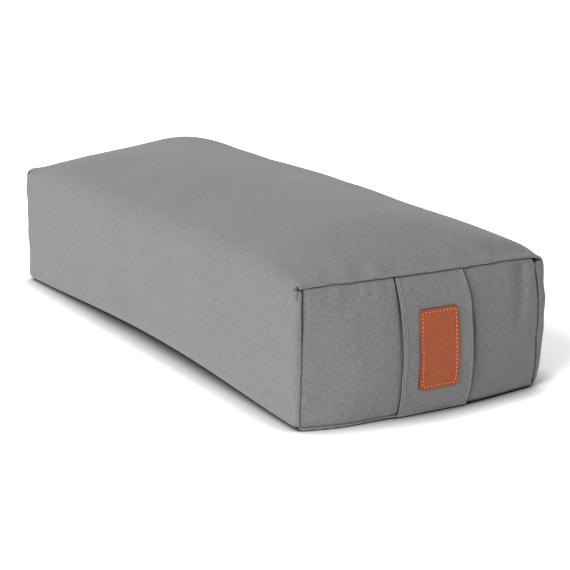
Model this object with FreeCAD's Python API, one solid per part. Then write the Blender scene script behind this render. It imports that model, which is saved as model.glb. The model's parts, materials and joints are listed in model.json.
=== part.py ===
import FreeCAD
import Part
import math
import os

from FreeCAD import Vector

# Rectangular yoga bolster: a sewn cotton cover with a zip, a carrying strap with a leather
# patch on one end panel, and a zipped inner bag packed with grain husks.
# +X runs along the length towards the strap, +Y across towards the zips, +Z up.
# The origin is on the floor under the middle of the cover. Sizes are in millimetres.

# Cushion form
cover_length = 700.0        # between the corners of the two end panels
cover_width = 300.0
end_height = 147.0          # of the form at its end corners
end_crown = 1.5             # rise of an end's top edge at the middle of the width
long_edge_rise = 5.0        # how far the filling lifts the long top edges
middle_crown = 44.0         # rise of the top across the width, at the middle of the length
end_corner_radius = 13.0
middle_top_radius = 35.0
middle_base_radius = 25.0
base_lift = 2.0             # of the end panels' lower edges over the floor
settle_depth = 0.5          # how deep the floor flattens the soft base
end_bulge = 13.0            # of an end panel in plan
end_dome = 8.0              # of an end panel from top to bottom
rim_radius = 9.0            # of the roll where the wrap turns over to an end panel
side_seam = 9.5             # inset of an end panel's seams from the cushion's sides
top_seam = 2.0
base_seam = 5.0
swell_power = 5.2           # how suddenly the swell drops towards the ends
station_shares = (0.0, 0.45, 0.75, 0.92, 1.0)
loft_overrun = 2.0          # of the lofted form past the deepest end bulge

# Cloth and filling
cover_cloth = 1.0
bag_cloth = 0.6
seam_gap = 0.2
cloth_gap = 0.3             # between the cover, the bag and the filling where they rest
bag_slack = 5.0             # by which the bag is narrower and shorter than the cover on each side

# Carrying strap and patch
strap_width = 85.0
strap_thickness = 2.4
strap_bow = 21.0            # of the strap beyond the line between its two seams
strap_tuck = 1.4            # how far the strap's ends reach in behind the rim
strap_offset = 0.0          # of the strap from the middle of the width
strap_stitch_inset = 3.0
strap_stitch_share = 0.9
patch_width = 48.0
patch_height = 85.0
patch_thickness = 1.8
patch_corner = 5.0
patch_drop = 5.0            # of the patch's middle below the middle of the strap
patch_stitch_inset = 3.6
thread_width = 0.9
thread_height = 0.4

# Zips: both have the same chain, slider and pull
zip_height = 62.0
cover_zip_length = 500.0
bag_zip_length = 280.0
tape_width = 11.0
tape_thickness = 0.5
tape_tail = 6.0
teeth_gap = 1.0
tooth_reach = 2.0
tooth_width = 1.9
tooth_pitch = 3.2
teeth_spine = 1.2
teeth_thickness = 1.3
slot_margin = 1.5
stop_length = 4.0
slider_length = 11.0
slider_plate = 1.0
slider_clearance = 0.3
slider_corner = 1.6
flange_thickness = 0.8
flange_clearance = 0.4
keel_width = 0.6
keel_length = 5.0
bail_width = 2.2
bail_wall = 0.8
bar_radius = 0.7
bar_clearance = 0.4
pull_length = 22.0
pull_width = 6.4
pull_thickness = 1.2
pull_corner = 2.0
pull_hole_radius = 1.3
pull_hole_inset = 3.6
zip_stitch_offset = 8.0
fill_clearance = 0.5

# Places worked out from the sizes above
half_width = cover_width / 2
end_reach = cover_length / 2 + end_bulge
end_apex = end_reach + end_dome
loft_reach = end_reach + loft_overrun
end_middle = end_height / 2
bag_inset = cover_cloth + cloth_gap + bag_slack
bag_settle = bag_slack / math.sqrt(2)
bag_shift = Vector(0, -bag_settle, -bag_settle)
bag_face = half_width - bag_inset - bag_settle
strap_low = base_lift + base_seam
strap_high = end_height + end_crown - top_seam
teeth_edge = teeth_gap / 2 + tooth_reach + teeth_spine
slot_half = teeth_edge + flange_clearance + flange_thickness + slot_margin
bail_inner = bar_radius + bar_clearance
bail_outer = bail_inner + bail_wall
zip_axis = Vector(0, 0, 1)
pieces = {}


# Shape helpers

def mix(low, high, share):
    return low + (high - low) * share


def wire_from(curves):
    return Part.Wire([curve.toShape() for curve in curves])


def box_between(low, high):
    size = high - low
    return Part.makeBox(size.x, size.y, size.z, low)


def mirrored_ends(shape):
    return shape.mirror(Vector(0, 0, 0), Vector(1, 0, 0))


def loop_through(points):
    ends = points[1:] + points[:1]
    return wire_from([Part.LineSegment(start, end) for start, end in zip(points, ends)])


# Cushion form, drawn in by an inset on every side

def outline(x, swell, inset):
    rise = mix(end_crown, middle_crown, swell)
    crown = (half_width ** 2 + rise ** 2) / (2 * rise)
    crown_z = end_height + long_edge_rise * swell + rise - crown
    top = mix(end_corner_radius, middle_top_radius, swell)
    low = mix(end_corner_radius, middle_base_radius, swell)
    top_y = half_width - top
    top_z = crown_z + math.sqrt((crown - top) ** 2 - top_y ** 2)
    low_y = half_width - low
    low_z = mix(base_lift, -settle_depth, swell) + low
    lean = math.atan2(top_z - crown_z, top_y)

    def corner(side, y, z, radius, angle):
        reach = radius - inset
        return Vector(x, side * (y + reach * math.cos(angle)), z + reach * math.sin(angle))

    def low_corner(side):
        return [corner(side, low_y, low_z, low, -turn * math.pi / 2) for turn in (1, 1 / 2, 0)]

    def top_corner(side):
        return [corner(side, top_y, top_z, top, turn * lean) for turn in (0, 1 / 2, 1)]

    low_right, low_left = low_corner(1), low_corner(-1)
    top_right, top_left = top_corner(1), top_corner(-1)
    peak = Vector(x, 0, crown_z + crown - inset)
    return wire_from([
        Part.LineSegment(low_left[0], low_right[0]),
        Part.Arc(*low_right),
        Part.LineSegment(low_right[-1], top_right[0]),
        Part.Arc(*top_right),
        Part.Arc(top_right[-1], peak, top_left[-1]),
        Part.Arc(*reversed(top_left)),
        Part.LineSegment(top_left[0], low_left[-1]),
        Part.Arc(*reversed(low_left)),
    ])


def end_face_x(z, inset=0):
    dome = (end_middle ** 2 + end_dome ** 2) / (2 * end_dome)
    return end_apex - dome + math.sqrt(dome ** 2 - (z - end_middle) ** 2) - inset


def end_barrel(inset):
    bulge = (half_width ** 2 + end_bulge ** 2) / (2 * end_bulge)
    low = end_middle - end_height
    high = end_middle + end_height
    axis_low = Vector(end_reach - bulge, 0, low)
    axis_high = Vector(end_reach - bulge, 0, high)
    face_low = Vector(end_face_x(low, inset), 0, low)
    face_high = Vector(end_face_x(high, inset), 0, high)
    half_profile = Part.Face(wire_from([
        Part.LineSegment(axis_low, face_low),
        Part.Arc(face_low, Vector(end_apex - inset, 0, end_middle), face_high),
        Part.LineSegment(face_high, axis_high),
        Part.LineSegment(axis_high, axis_low),
    ]))
    half_profile.rotate(axis_low, Vector(0, 0, 1), -90)
    return half_profile.revolve(axis_low, Vector(0, 0, 1), 360)


def cushion(inset, end_inset, rim=0):
    shares = [-share for share in reversed(station_shares[1:])] + list(station_shares)
    stations = [(share * loft_reach, 1 - abs(share) ** swell_power) for share in shares]
    body = Part.makeLoft([outline(x, swell, inset) for x, swell in stations], True, False)
    end_cap = Part.Face(outline(loft_reach, 0, inset)).extrude(Vector(end_dome, 0, 0))
    barrel = end_barrel(end_inset)
    body = body.fuse([end_cap, mirrored_ends(end_cap)])
    body = body.common(barrel).common(mirrored_ends(barrel)).removeSplitter()
    if rim > 0:
        end_faces = [face for face in body.Faces if abs(face.CenterOfMass.x) > cover_length / 2]
        rims = [edge for face in end_faces for edge in face.Edges]
        body = body.Solids[0].makeFillet(rim, rims)
    floor_low = Vector(-cover_length, -cover_width, inset - end_height)
    floor_high = Vector(cover_length, cover_width, inset)
    return body.cut(box_between(floor_low, floor_high))


def cover_form(inset):
    return cushion(inset, inset, rim_radius - inset)


def bag_form(inset):
    return cushion(inset, inset + bag_slack).translated(bag_shift)


def end_plug(gap):
    near = cover_length / 2 - end_bulge - end_dome
    side = half_width - side_seam - gap
    low = base_lift + base_seam + gap
    high = end_height - top_seam - gap
    low_left = Vector(near, -side, low)
    low_right = Vector(near, side, low)
    high_left = Vector(near, -side, high)
    high_right = Vector(near, side, high)
    profile = wire_from([
        Part.LineSegment(low_left, low_right),
        Part.LineSegment(low_right, high_right),
        Part.Arc(high_right, Vector(near, 0, high + end_crown), high_left),
        Part.LineSegment(high_left, low_left),
    ])
    return Part.Face(profile).extrude(Vector(end_apex - near + end_dome, 0, 0))


def sewn_shell(name, outer, inner, inset, shift):
    shell = outer.cut(inner)
    hole = end_plug(inset).translated(shift)
    plug = end_plug(inset + seam_gap).translated(shift)
    pieces[name + "_wrap"] = shell.cut([hole, mirrored_ends(hole)])
    pieces[name + "_end_front"] = shell.common(plug)
    pieces[name + "_end_rear"] = shell.common(mirrored_ends(plug))


# Carrying strap: a band bent to an arc in front of the end panel

def strap_radius():
    half_chord = (strap_high - strap_low) / 2
    return (half_chord ** 2 + strap_bow ** 2) / (2 * strap_bow)


def strap_half_angle():
    return math.asin((strap_high - strap_low) / 2 / strap_radius())


def strap_centre():
    x = end_face_x(strap_high) - strap_tuck + strap_bow - strap_radius()
    return Vector(x, 0, (strap_low + strap_high) / 2)


def bent_plate(lift, thickness, width, half_angle, middle):
    inner = strap_radius() + lift
    outer = inner + thickness
    centre = strap_centre()

    def spot(radius, angle):
        return Vector(centre.x + radius * math.cos(angle), middle - width / 2,
                      centre.z + radius * math.sin(angle))

    inner_arc = [spot(inner, turn * half_angle) for turn in (-1, 0, 1)]
    outer_arc = [spot(outer, turn * half_angle) for turn in (-1, 0, 1)]
    edge = Part.Face(wire_from([
        Part.Arc(*inner_arc),
        Part.LineSegment(inner_arc[-1], outer_arc[-1]),
        Part.Arc(*reversed(outer_arc)),
        Part.LineSegment(outer_arc[0], inner_arc[0]),
    ]))
    return edge.extrude(Vector(0, width, 0))


def rounded_plate(lift, thickness, width, height, radius):
    half_angle = height / 2 / (strap_radius() + lift)
    plate = bent_plate(lift, thickness, width, half_angle, strap_offset)
    upright = [edge for edge in plate.Edges if abs(edge.Length - thickness) < seam_gap]
    plate = plate.makeFillet(radius, upright)
    plate.rotate(strap_centre(), Vector(0, 1, 0), math.degrees(patch_drop / strap_radius()))
    return plate


def add_handle():
    strap = bent_plate(-strap_thickness, strap_thickness, strap_width, strap_half_angle(), strap_offset)
    pieces["handle_strap"] = strap.cut(cover_form(-seam_gap))
    row_offset = strap_width / 2 - strap_stitch_inset
    row_angle = strap_half_angle() * strap_stitch_share
    for label, side in (("left", -1), ("right", 1)):
        row_middle = strap_offset + side * row_offset
        row = bent_plate(0, thread_height, thread_width, row_angle, row_middle)
        pieces["handle_stitching_" + label] = row
    pieces["handle_patch"] = rounded_plate(0, patch_thickness, patch_width, patch_height, patch_corner)
    ring = []
    for inset in (patch_stitch_inset, patch_stitch_inset + thread_width):
        width = patch_width - 2 * inset
        height = patch_height - 2 * inset
        corner = patch_corner * width / patch_width
        ring.append(rounded_plate(patch_thickness, thread_height, width, height, corner))
    pieces["handle_patch_stitching"] = ring[0].cut(ring[1])


# Zips along +X, facing +Y: the chain lies on its tapes behind a slot in the cloth

class Zip:
    def __init__(self, name, face, cloth, length):
        self.name = name
        self.length = length
        self.face = face
        self.tape_front = face - cloth
        self.tape_back = self.tape_front - tape_thickness
        self.teeth_front = self.tape_front + teeth_thickness
        self.plate_back = self.teeth_front + slider_clearance
        self.plate_front = self.plate_back + slider_plate
        self.pivot_y = self.plate_front + bail_inner
        self.slider_x = length / 2 - slider_length / 2 - slider_clearance

    def slot(self):
        reach = self.length / 2 + stop_length + slot_margin
        low = Vector(-reach, self.tape_front, zip_height - slot_half)
        high = Vector(reach, self.face + slot_margin, zip_height + slot_half)
        return box_between(low, high)

    def room(self):
        reach = self.length / 2 + stop_length + tape_tail + fill_clearance
        tall = teeth_gap / 2 + tape_width + fill_clearance
        deep = self.tape_back - slider_clearance - slider_plate - fill_clearance
        low = Vector(-reach, deep, zip_height - tall)
        return box_between(low, Vector(reach, self.face, zip_height + tall))

    def tape(self, side):
        reach = self.length / 2 + stop_length + tape_tail
        near = zip_height + side * teeth_gap / 2
        far = near + side * tape_width
        low = Vector(-reach, self.tape_back, min(near, far))
        return box_between(low, Vector(reach, self.tape_front, max(near, far)))

    def teeth(self, side):
        tip = zip_height + side * teeth_gap / 2
        root = tip + side * tooth_reach
        back = root + side * teeth_spine
        count = int((self.length - tooth_width) / tooth_pitch) + 1
        first = -((count - 1) * tooth_pitch + tooth_width) / 2
        comb = []
        for index in range(count):
            start = first + index * tooth_pitch
            end = start + tooth_width
            comb += [(start, root), (start, tip), (end, tip), (end, root)]
        comb += [(comb[-1][0], back), (comb[0][0], back)]
        profile = loop_through([Vector(x, self.tape_front, z) for x, z in comb])
        return Part.Face(profile).extrude(Vector(0, teeth_thickness, 0))

    def stop(self, side):
        near = side * self.length / 2
        far = near + side * stop_length
        low = Vector(min(near, far), self.tape_front, zip_height - teeth_edge)
        high = Vector(max(near, far), self.teeth_front, zip_height + teeth_edge)
        return box_between(low, high)

    def slider_block(self, back, front, half_length, half_height, lift=0):
        low = Vector(self.slider_x - half_length, back, zip_height + lift - half_height)
        high = Vector(self.slider_x + half_length, front, zip_height + lift + half_height)
        return box_between(low, high)

    def slider(self):
        half = slider_length / 2
        tall = teeth_edge + flange_clearance + flange_thickness
        plate = self.slider_block(self.plate_back, self.plate_front, half, tall)
        across = [edge for edge in plate.Edges if abs(edge.tangentAt(edge.FirstParameter).y) > 1 / 2]
        plate = plate.makeFillet(slider_corner, across)
        back_front = self.tape_back - slider_clearance
        back_plate = self.slider_block(back_front - slider_plate, back_front, half, teeth_edge)
        keel = self.slider_block(back_front, self.plate_back, keel_length / 2, keel_width / 2)
        flange_back = self.tape_front + slider_clearance
        flange_offset = tall - flange_thickness / 2
        flange_half = half - slider_corner
        flanges = [self.slider_block(flange_back, self.plate_back, flange_half, flange_thickness / 2,
                                     side * flange_offset) for side in (-1, 1)]
        return plate.fuse([back_plate, keel, self.bail()] + flanges).removeSplitter()

    def bail(self):
        bottom = zip_height - bail_width / 2

        def spot(x, y):
            return Vector(self.slider_x + x, y, bottom)

        def arch(radius):
            return Part.Arc(spot(-radius, self.pivot_y), spot(0, self.pivot_y + radius),
                            spot(radius, self.pivot_y))

        def foot(start, end, y):
            return Part.LineSegment(spot(start, y), spot(end, y))

        def leg(x):
            return Part.LineSegment(spot(x, self.plate_front), spot(x, self.pivot_y))

        profile = wire_from([
            leg(-bail_outer), arch(bail_outer), leg(bail_outer),
            foot(bail_inner, bail_outer, self.plate_front),
            leg(bail_inner), arch(bail_inner), leg(-bail_inner),
            foot(-bail_outer, -bail_inner, self.plate_front),
        ])
        return Part.Face(profile).extrude(Vector(0, 0, bail_width))

    def pull(self):
        back = self.pivot_y - pull_thickness / 2
        front = self.pivot_y + pull_thickness / 2
        tip = self.slider_x - pull_length
        low = Vector(tip, back, zip_height - pull_width / 2)
        tab = box_between(low, Vector(self.slider_x, front, zip_height + pull_width / 2))
        tip_edges = [edge for edge in tab.Edges
                     if edge.BoundBox.XMax < self.slider_x - pull_length / 2
                     and abs(edge.Length - pull_thickness) < seam_gap]
        tab = tab.makeFillet(pull_corner, tip_edges)
        window_half = bail_width / 2 + bar_clearance
        window_far = self.slider_x - bail_outer - bar_clearance
        window_low = Vector(window_far, back, zip_height - window_half)
        window = box_between(window_low, Vector(self.slider_x, front, zip_height + window_half))
        hole_centre = Vector(tip + pull_hole_inset, back, zip_height)
        hole = Part.makeCylinder(pull_hole_radius, pull_thickness, hole_centre, Vector(0, 1, 0))
        bar_low = Vector(self.slider_x, self.pivot_y, zip_height - pull_width / 2)
        bar = Part.makeCylinder(bar_radius, pull_width, bar_low, zip_axis)
        return tab.cut([window, hole]).fuse(bar).removeSplitter()

    def stitching(self, side):
        row_z = zip_height + side * zip_stitch_offset
        reach = self.length / 2 + stop_length
        low = Vector(-reach, self.face, row_z - thread_width / 2)
        return box_between(low, Vector(reach, self.face + thread_height, row_z + thread_width / 2))

    def add_pieces(self):
        for label, side in (("upper", 1), ("lower", -1)):
            pieces[self.name + "_tape_" + label] = self.tape(side)
            pieces[self.name + "_teeth_" + label] = self.teeth(side)
            pieces[self.name + "_stitching_" + label] = self.stitching(side)
        for label, side in (("front", 1), ("rear", -1)):
            pieces[self.name + "_stop_" + label] = self.stop(side)
        pieces[self.name + "_slider"] = self.slider()
        pieces[self.name + "_pull"] = self.pull()


# Assembly

def build():
    cover_zip = Zip("cover_zip", half_width, cover_cloth, cover_zip_length)
    bag_zip = Zip("bag_zip", bag_face, bag_cloth, bag_zip_length)
    bag_hollow_inset = bag_inset + bag_cloth
    sewn_shell("cover", cover_form(0), cover_form(cover_cloth), 0, Vector(0, 0, 0))
    sewn_shell("bag", bag_form(bag_inset), bag_form(bag_hollow_inset), bag_inset, bag_shift)
    for zip_chain, wrap in ((cover_zip, "cover_wrap"), (bag_zip, "bag_wrap")):
        pieces[wrap] = pieces[wrap].cut(zip_chain.slot())
        zip_chain.add_pieces()
    pieces["husk_filling"] = bag_form(bag_hollow_inset + cloth_gap).cut(bag_zip.room())
    add_handle()


build()
os.makedirs("parts", exist_ok=True)
for node, shape in pieces.items():
    solid = shape.Solids[0]
    solid.exportStep("parts/" + node + ".step")
    print(node, len(shape.Solids), solid.isValid(), round(solid.Volume))
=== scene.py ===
"""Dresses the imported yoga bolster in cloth, leather, thread and metal.

Lengths are in metres, in the part's own frame: +X along the length towards the strap, +Y
across towards the zips, +Z up, with the floor at zero.
"""
from __future__ import annotations

import json
import logging
import math
from dataclasses import dataclass, field
from enum import Enum, IntEnum
from functools import cached_property

import bpy
import numpy as np
from mathutils import Matrix, Vector

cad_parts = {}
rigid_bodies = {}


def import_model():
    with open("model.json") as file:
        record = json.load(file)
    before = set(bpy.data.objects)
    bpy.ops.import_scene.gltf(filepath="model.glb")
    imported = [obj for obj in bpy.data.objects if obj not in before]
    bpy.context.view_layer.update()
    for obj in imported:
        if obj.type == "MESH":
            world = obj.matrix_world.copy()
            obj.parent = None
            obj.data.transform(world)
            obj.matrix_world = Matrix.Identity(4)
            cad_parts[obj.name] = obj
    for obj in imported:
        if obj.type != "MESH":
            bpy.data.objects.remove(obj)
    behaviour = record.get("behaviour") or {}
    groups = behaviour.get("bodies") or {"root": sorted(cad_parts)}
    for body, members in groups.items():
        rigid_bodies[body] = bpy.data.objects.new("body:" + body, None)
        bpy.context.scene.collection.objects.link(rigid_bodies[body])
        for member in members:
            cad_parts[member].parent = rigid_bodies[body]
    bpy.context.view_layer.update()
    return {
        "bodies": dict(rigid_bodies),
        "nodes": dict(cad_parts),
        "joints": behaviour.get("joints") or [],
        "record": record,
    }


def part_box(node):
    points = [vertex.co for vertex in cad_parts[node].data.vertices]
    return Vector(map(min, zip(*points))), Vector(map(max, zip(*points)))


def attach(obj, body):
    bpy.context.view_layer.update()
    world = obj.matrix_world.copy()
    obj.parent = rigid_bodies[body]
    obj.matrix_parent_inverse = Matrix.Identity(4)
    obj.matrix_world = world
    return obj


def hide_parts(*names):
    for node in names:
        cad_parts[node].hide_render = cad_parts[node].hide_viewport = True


LOG = logging.getLogger("bolster")
CLOTH_UV = "cloth"
# vertex attribute of painted shade in seams and creases, read by the finishes' colour
CREASE_SHADE = "crease_shade"
ROOT = "bolster"
WHITE = (1.0, 1.0, 1.0, 1.0)
BLACK = (0.0, 0.0, 0.0, 1.0)
SMALLEST = 1e-12
Array = np.ndarray
Socket = bpy.types.NodeSocket
Colour = tuple[float, float, float]
Span = tuple[float, float]
SeamLine = tuple[Span, ...]


class Side(Enum):
    """The two directions of a paired piece."""

    NEGATIVE = -1
    POSITIVE = 1

    @property
    def end(self) -> str:
        """Name of the end on this side."""
        return "front" if self is Side.POSITIVE else "rear"

    @property
    def edge(self) -> str:
        """Name of the strap's edge on this side."""
        return "right" if self is Side.POSITIVE else "left"


class Seed(IntEnum):
    """Which set of irregular waves a surface has."""

    LUMPS = 3
    PUCKERS = 8
    PANEL_LUMPS = 21
    PANEL_TOP = 26
    PANEL_SIDES = 30
    STRAP_FACE = 31
    STRAP_EDGES = 33
    LEATHER = 41
    WANDER = 50


def mix(low: float | Array, high: float | Array, share: float | Array) -> float | Array:
    """Blends two values: low at a share of 0, high at 1."""
    return low + (high - low) * share


def smooth_step(start: float | Array, end: float | Array, value: Array) -> Array:
    """Eases from 0 where the value is start to 1 where it is end."""
    share = np.clip((value - start) / (end - start), 0.0, 1.0)
    return share * share * (3.0 - 2.0 * share)


def bell(value: Array, middle: float, width: float) -> Array:
    """A smooth hump, 1 at its middle and about a third at its width from there."""
    return np.exp(-(((value - middle) / width) ** 2))


def fading(distance: Array, reach: float) -> Array:
    """Falls from 1 at no distance to about a third at the reach."""
    return np.exp(-np.maximum(distance, 0.0) / reach)


def crowded(count: int, crowding: float) -> Array:
    """Places from -1 to 1 that lie closer together towards both ends."""
    return np.tanh(np.linspace(-crowding, crowding, count)) / math.tanh(crowding)


def run_length(path: Array) -> Array:
    """Way along a path, up to each of its points."""
    return np.cumsum(np.linalg.norm(np.diff(path, axis=0, prepend=path[:1]), axis=1))


def corners_of(node: str) -> tuple[Vector, ...]:
    """The lowest and the highest corner of a solid's box."""
    return tuple(Vector(corner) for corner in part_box(node))


class Ripples:
    """Smooth irregular waves over a surface, the same on every run."""

    def __init__(self, seed: int, shortest: float, longest: float, count: int = 16) -> None:
        """Draws the waves.

        Args:
            seed: which set of waves to draw.
            shortest: the shortest wavelength.
            longest: the longest wavelength.
            count: how many waves are added together.
        """
        draw = np.random.default_rng(seed)
        lengths = draw.uniform(shortest, longest, count)
        headings = draw.uniform(0.0, 2.0 * math.pi, count)
        self.along = 2.0 * math.pi / lengths * np.cos(headings)
        self.across = 2.0 * math.pi / lengths * np.sin(headings)
        self.phases = draw.uniform(0.0, 2.0 * math.pi, count)

    def at(self, along: Array, across: Array) -> Array:
        """The waves' height.

        Args:
            along: first surface coordinate.
            across: second surface coordinate.

        Returns:
            A height of about -2 to 2 at each place.
        """
        total = np.zeros(np.broadcast(along, across).shape)
        for step_along, step_across, phase in zip(self.along, self.across, self.phases):
            total += np.sin(step_along * along + step_across * across + phase)
        return total / math.sqrt(len(self.phases) / 2.0)


# Meshes

def add_mesh(name: str, points: Array, faces: list[tuple[int, ...]], uvs: Array,
             crease_shade: Array | None = None, closing: float = 0.0) -> bpy.types.Object:
    """Makes a smooth mesh object.

    Args:
        name: the object's name.
        points: vertex places, one row each.
        faces: vertex numbers of each face.
        uvs: cloth coordinates in metres, one row per vertex.
        crease_shade: how much painted shade each vertex has, deep in a seam or crease, from 0 to 1.
        closing: length of the cloth round a closed ring of quads, or 0.

    Returns:
        The new object.
    """
    mesh = bpy.data.meshes.new(name)
    mesh.from_pydata(points.tolist(), [], faces)
    layer = mesh.uv_layers.new(name=CLOTH_UV)
    corners = np.zeros(len(mesh.loops), dtype=np.int32)
    mesh.loops.foreach_get("vertex_index", corners)
    spread = uvs[corners]
    if closing:
        quads = spread[:, 0].reshape(-1, 4)
        quads += closing * (quads.max(axis=1, keepdims=True) - quads > closing / 2.0)
    layer.data.foreach_set("uv", spread.astype(np.float32).ravel())
    # painted shade of each vertex, none unless given
    depth = np.zeros(len(points)) if crease_shade is None else crease_shade
    attribute = mesh.attributes.new(CREASE_SHADE, "FLOAT", "POINT")
    attribute.data.foreach_set("value", depth.astype(np.float32).ravel())
    mesh.polygons.foreach_set("use_smooth", np.ones(len(mesh.polygons), dtype=bool))
    mesh.update()
    thing = bpy.data.objects.new(name, mesh)
    bpy.context.scene.collection.objects.link(thing)
    return thing


def grid_faces(rows: int, columns: int, ring: bool, start: int = 0) -> list[tuple[int, int, int, int]]:
    """Faces of a grid of vertices.

    Args:
        rows: number of rows.
        columns: number of vertices in a row.
        ring: whether each row closes on itself.
        start: number of the grid's first vertex.

    Returns:
        The quads, row by row.
    """
    steps = columns if ring else columns - 1
    faces = []
    for row in range(rows - 1):
        first = start + row * columns
        for column in range(steps):
            after = (column + 1) % columns
            faces.append((first + column, first + after,
                          first + columns + after, first + columns + column))
    return faces


def ring_normals(points: Array) -> Array:
    """Unit normals of a grid of points whose rows close on themselves.

    Args:
        points: the grid, as rows, columns and xyz.

    Returns:
        A unit normal for each point.
    """
    across = np.roll(points, -1, axis=1) - np.roll(points, 1, axis=1)
    normals = np.cross(across, np.gradient(points, axis=0))
    return normals / np.maximum(np.linalg.norm(normals, axis=2, keepdims=True), SMALLEST)


def dress(thing: bpy.types.Object, material: bpy.types.Material, node: str) -> None:
    """Gives a piece its finish and its body, and hides the solid that it stands for.

    Args:
        thing: the piece.
        material: its finish.
        node: the solid that it replaces.
    """
    thing.data.materials.clear()
    thing.data.materials.append(material)
    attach(thing, ROOT)
    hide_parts(node)
    LOG.info("%s: %d vertices, on %s", thing.name, len(thing.data.vertices), ROOT)


# Finishes

def toned(colour: Colour, factor: float) -> tuple[float, ...]:
    """A colour with its parts multiplied by a factor, opaque."""
    return tuple(min(part * factor, 1.0) for part in colour) + (1.0,)


class Shader:
    """A node material with a principled surface, and short ways to add nodes to it."""

    def __init__(self, name: str) -> None:
        """Starts the material.

        Args:
            name: the material's name.
        """
        self.material = bpy.data.materials.new(name)
        self.material.use_nodes = True
        self.tree = self.material.node_tree
        self.tree.nodes.clear()
        self.surface = self.add("ShaderNodeBsdfPrincipled")
        self.output = self.add("ShaderNodeOutputMaterial")
        self.join(self.surface.outputs["BSDF"], self.output.inputs["Surface"])

    def add(self, kind: str, **inputs: float | tuple | Socket) -> bpy.types.Node:
        """Adds a node.

        Args:
            kind: the node's type.
            **inputs: values or sockets for its inputs, by name with _ for a space.

        Returns:
            The node.
        """
        node = self.tree.nodes.new(kind)
        self.fill(node, **inputs)
        return node

    def fill(self, node: bpy.types.Node, **inputs: float | tuple | Socket) -> None:
        """Sets or links a node's inputs, by name with _ for a space."""
        for name, value in inputs.items():
            self.put(value, node.inputs[name.replace("_", " ")])

    def join(self, source: Socket, target: Socket) -> None:
        """Links an output to an input."""
        self.tree.links.new(source, target)

    def put(self, value: float | tuple | Socket, target: Socket) -> None:
        """Links a socket to an input, or sets the input's value.

        Args:
            value: a number, a colour or an output socket.
            target: the input.
        """
        if isinstance(value, bpy.types.NodeSocket):
            self.join(value, target)
        else:
            target.default_value = value

    def math(self, operation: str, first: float | Socket, second: float | Socket = 0.0) -> Socket:
        """Adds a sum.

        Args:
            operation: the kind of sum.
            first: first number.
            second: second number.

        Returns:
            The result.
        """
        node = self.add("ShaderNodeMath")
        node.operation = operation
        self.put(first, node.inputs[0])
        self.put(second, node.inputs[1])
        return node.outputs["Value"]

    def times(self, value: Socket, factor: float | Socket) -> Socket:
        """A value times a factor."""
        return self.math("MULTIPLY", value, factor)

    def scaled(self, value: Socket, factor: float, offset: float | Socket) -> Socket:
        """A value times a factor, plus an offset."""
        return self.math("ADD", self.times(value, factor), offset)

    def centred(self, value: Socket, middle: float, factor: float) -> Socket:
        """A value's distance from a middle, times a factor."""
        return self.times(self.math("SUBTRACT", value, middle), factor)

    def blend(self, share: Socket, low: tuple | Socket, high: tuple | Socket) -> Socket:
        """Mixes two colours.

        Args:
            share: how much of the second colour.
            low: first colour.
            high: second colour.

        Returns:
            The mixed colour.
        """
        node = self.add("ShaderNodeMix")
        node.data_type = "RGBA"
        for number, value in ((0, share), (6, low), (7, high)):
            self.put(value, node.inputs[number])
        return node.outputs[2]

    def crease_shaded(self, colour: Socket, seam: tuple) -> Socket:
        """Goes over to a darker colour where the mesh holds painted shade, in seams and creases.

        Args:
            colour: the colour outside them.
            seam: the colour of the painted shade, deep in a seam.

        Returns:
            The colour.
        """
        depth = self.add("ShaderNodeAttribute")
        depth.attribute_name = CREASE_SHADE
        return self.blend(depth.outputs["Fac"], colour, seam)

    def place(self) -> Socket:
        """The place on the piece, in metres."""
        return self.add("ShaderNodeTexCoord").outputs["Object"]

    def cloth_axes(self) -> tuple[Socket, Socket]:
        """The cloth coordinates.

        Returns:
            The place along the weft and along the warp, in metres.
        """
        uv = self.add("ShaderNodeUVMap")
        uv.uv_map = CLOTH_UV
        parts = self.add("ShaderNodeSeparateXYZ", Vector=uv.outputs["UV"])
        return parts.outputs["X"], parts.outputs["Y"]

    def noise(self, vector: Socket, scale: float, detail: float = 2.0) -> Socket:
        """A noise from 0 to 1, with its scale per metre."""
        return self.add("ShaderNodeTexNoise", Vector=vector, Scale=scale, Detail=detail).outputs["Fac"]

    def stretched(self, along: Socket, across: Socket, long: float, wide: float) -> Socket:
        """A noise from 0 to 1 in streaks of a given length and width."""
        shares = {"X": self.math("DIVIDE", along, long), "Y": self.math("DIVIDE", across, wide)}
        return self.noise(self.add("ShaderNodeCombineXYZ", **shares).outputs["Vector"], 1.0)


@dataclass(frozen=True)
class Finish:
    """What every finish has: a colour that varies, a roughness that varies and a bump."""

    name: str
    colour: Colour
    dark: float = 0.85
    pale: float = 1.15
    # how dark the colour goes where the mesh holds painted shade, as a share of the colour
    crease_shade: float = 0.0
    rough: float = 0.4
    rough_spread: float = 0.2
    metallic: float = 0.0
    specular: float = 0.5
    sheen: float = 0.0
    bump: float = 0.00005
    bump_strength: float = 0.5
    detail: float = 3.0

    def pattern(self, shader: Shader) -> tuple[Socket, Socket, Socket]:
        """Lays out the finish's own pattern: its colour, its wear and its height."""
        raise NotImplementedError

    def tint(self, shader: Shader, share: Socket) -> Socket:
        """The colour, from its darkest at a share of 0 to its palest at 1."""
        return shader.blend(share, toned(self.colour, self.dark), toned(self.colour, self.pale))

    def material(self) -> bpy.types.Material:
        """Makes the finish.

        Returns:
            The material.
        """
        shader = Shader(self.name)
        colour, wear, height = self.pattern(shader)
        # painted shade: the colour darkens where the mesh's attribute says so
        if self.crease_shade:
            colour = shader.crease_shaded(colour, toned(self.colour, self.crease_shade))
        roughness = shader.scaled(wear, self.rough_spread, self.rough)
        bump = shader.add("ShaderNodeBump", Strength=self.bump_strength, Distance=self.bump, Height=height)
        shader.fill(shader.surface, Base_Color=colour, Roughness=roughness, Metallic=self.metallic,
                    Specular_IOR_Level=self.specular, Sheen_Weight=self.sheen, Normal=bump.outputs["Normal"])
        return shader.material


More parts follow.
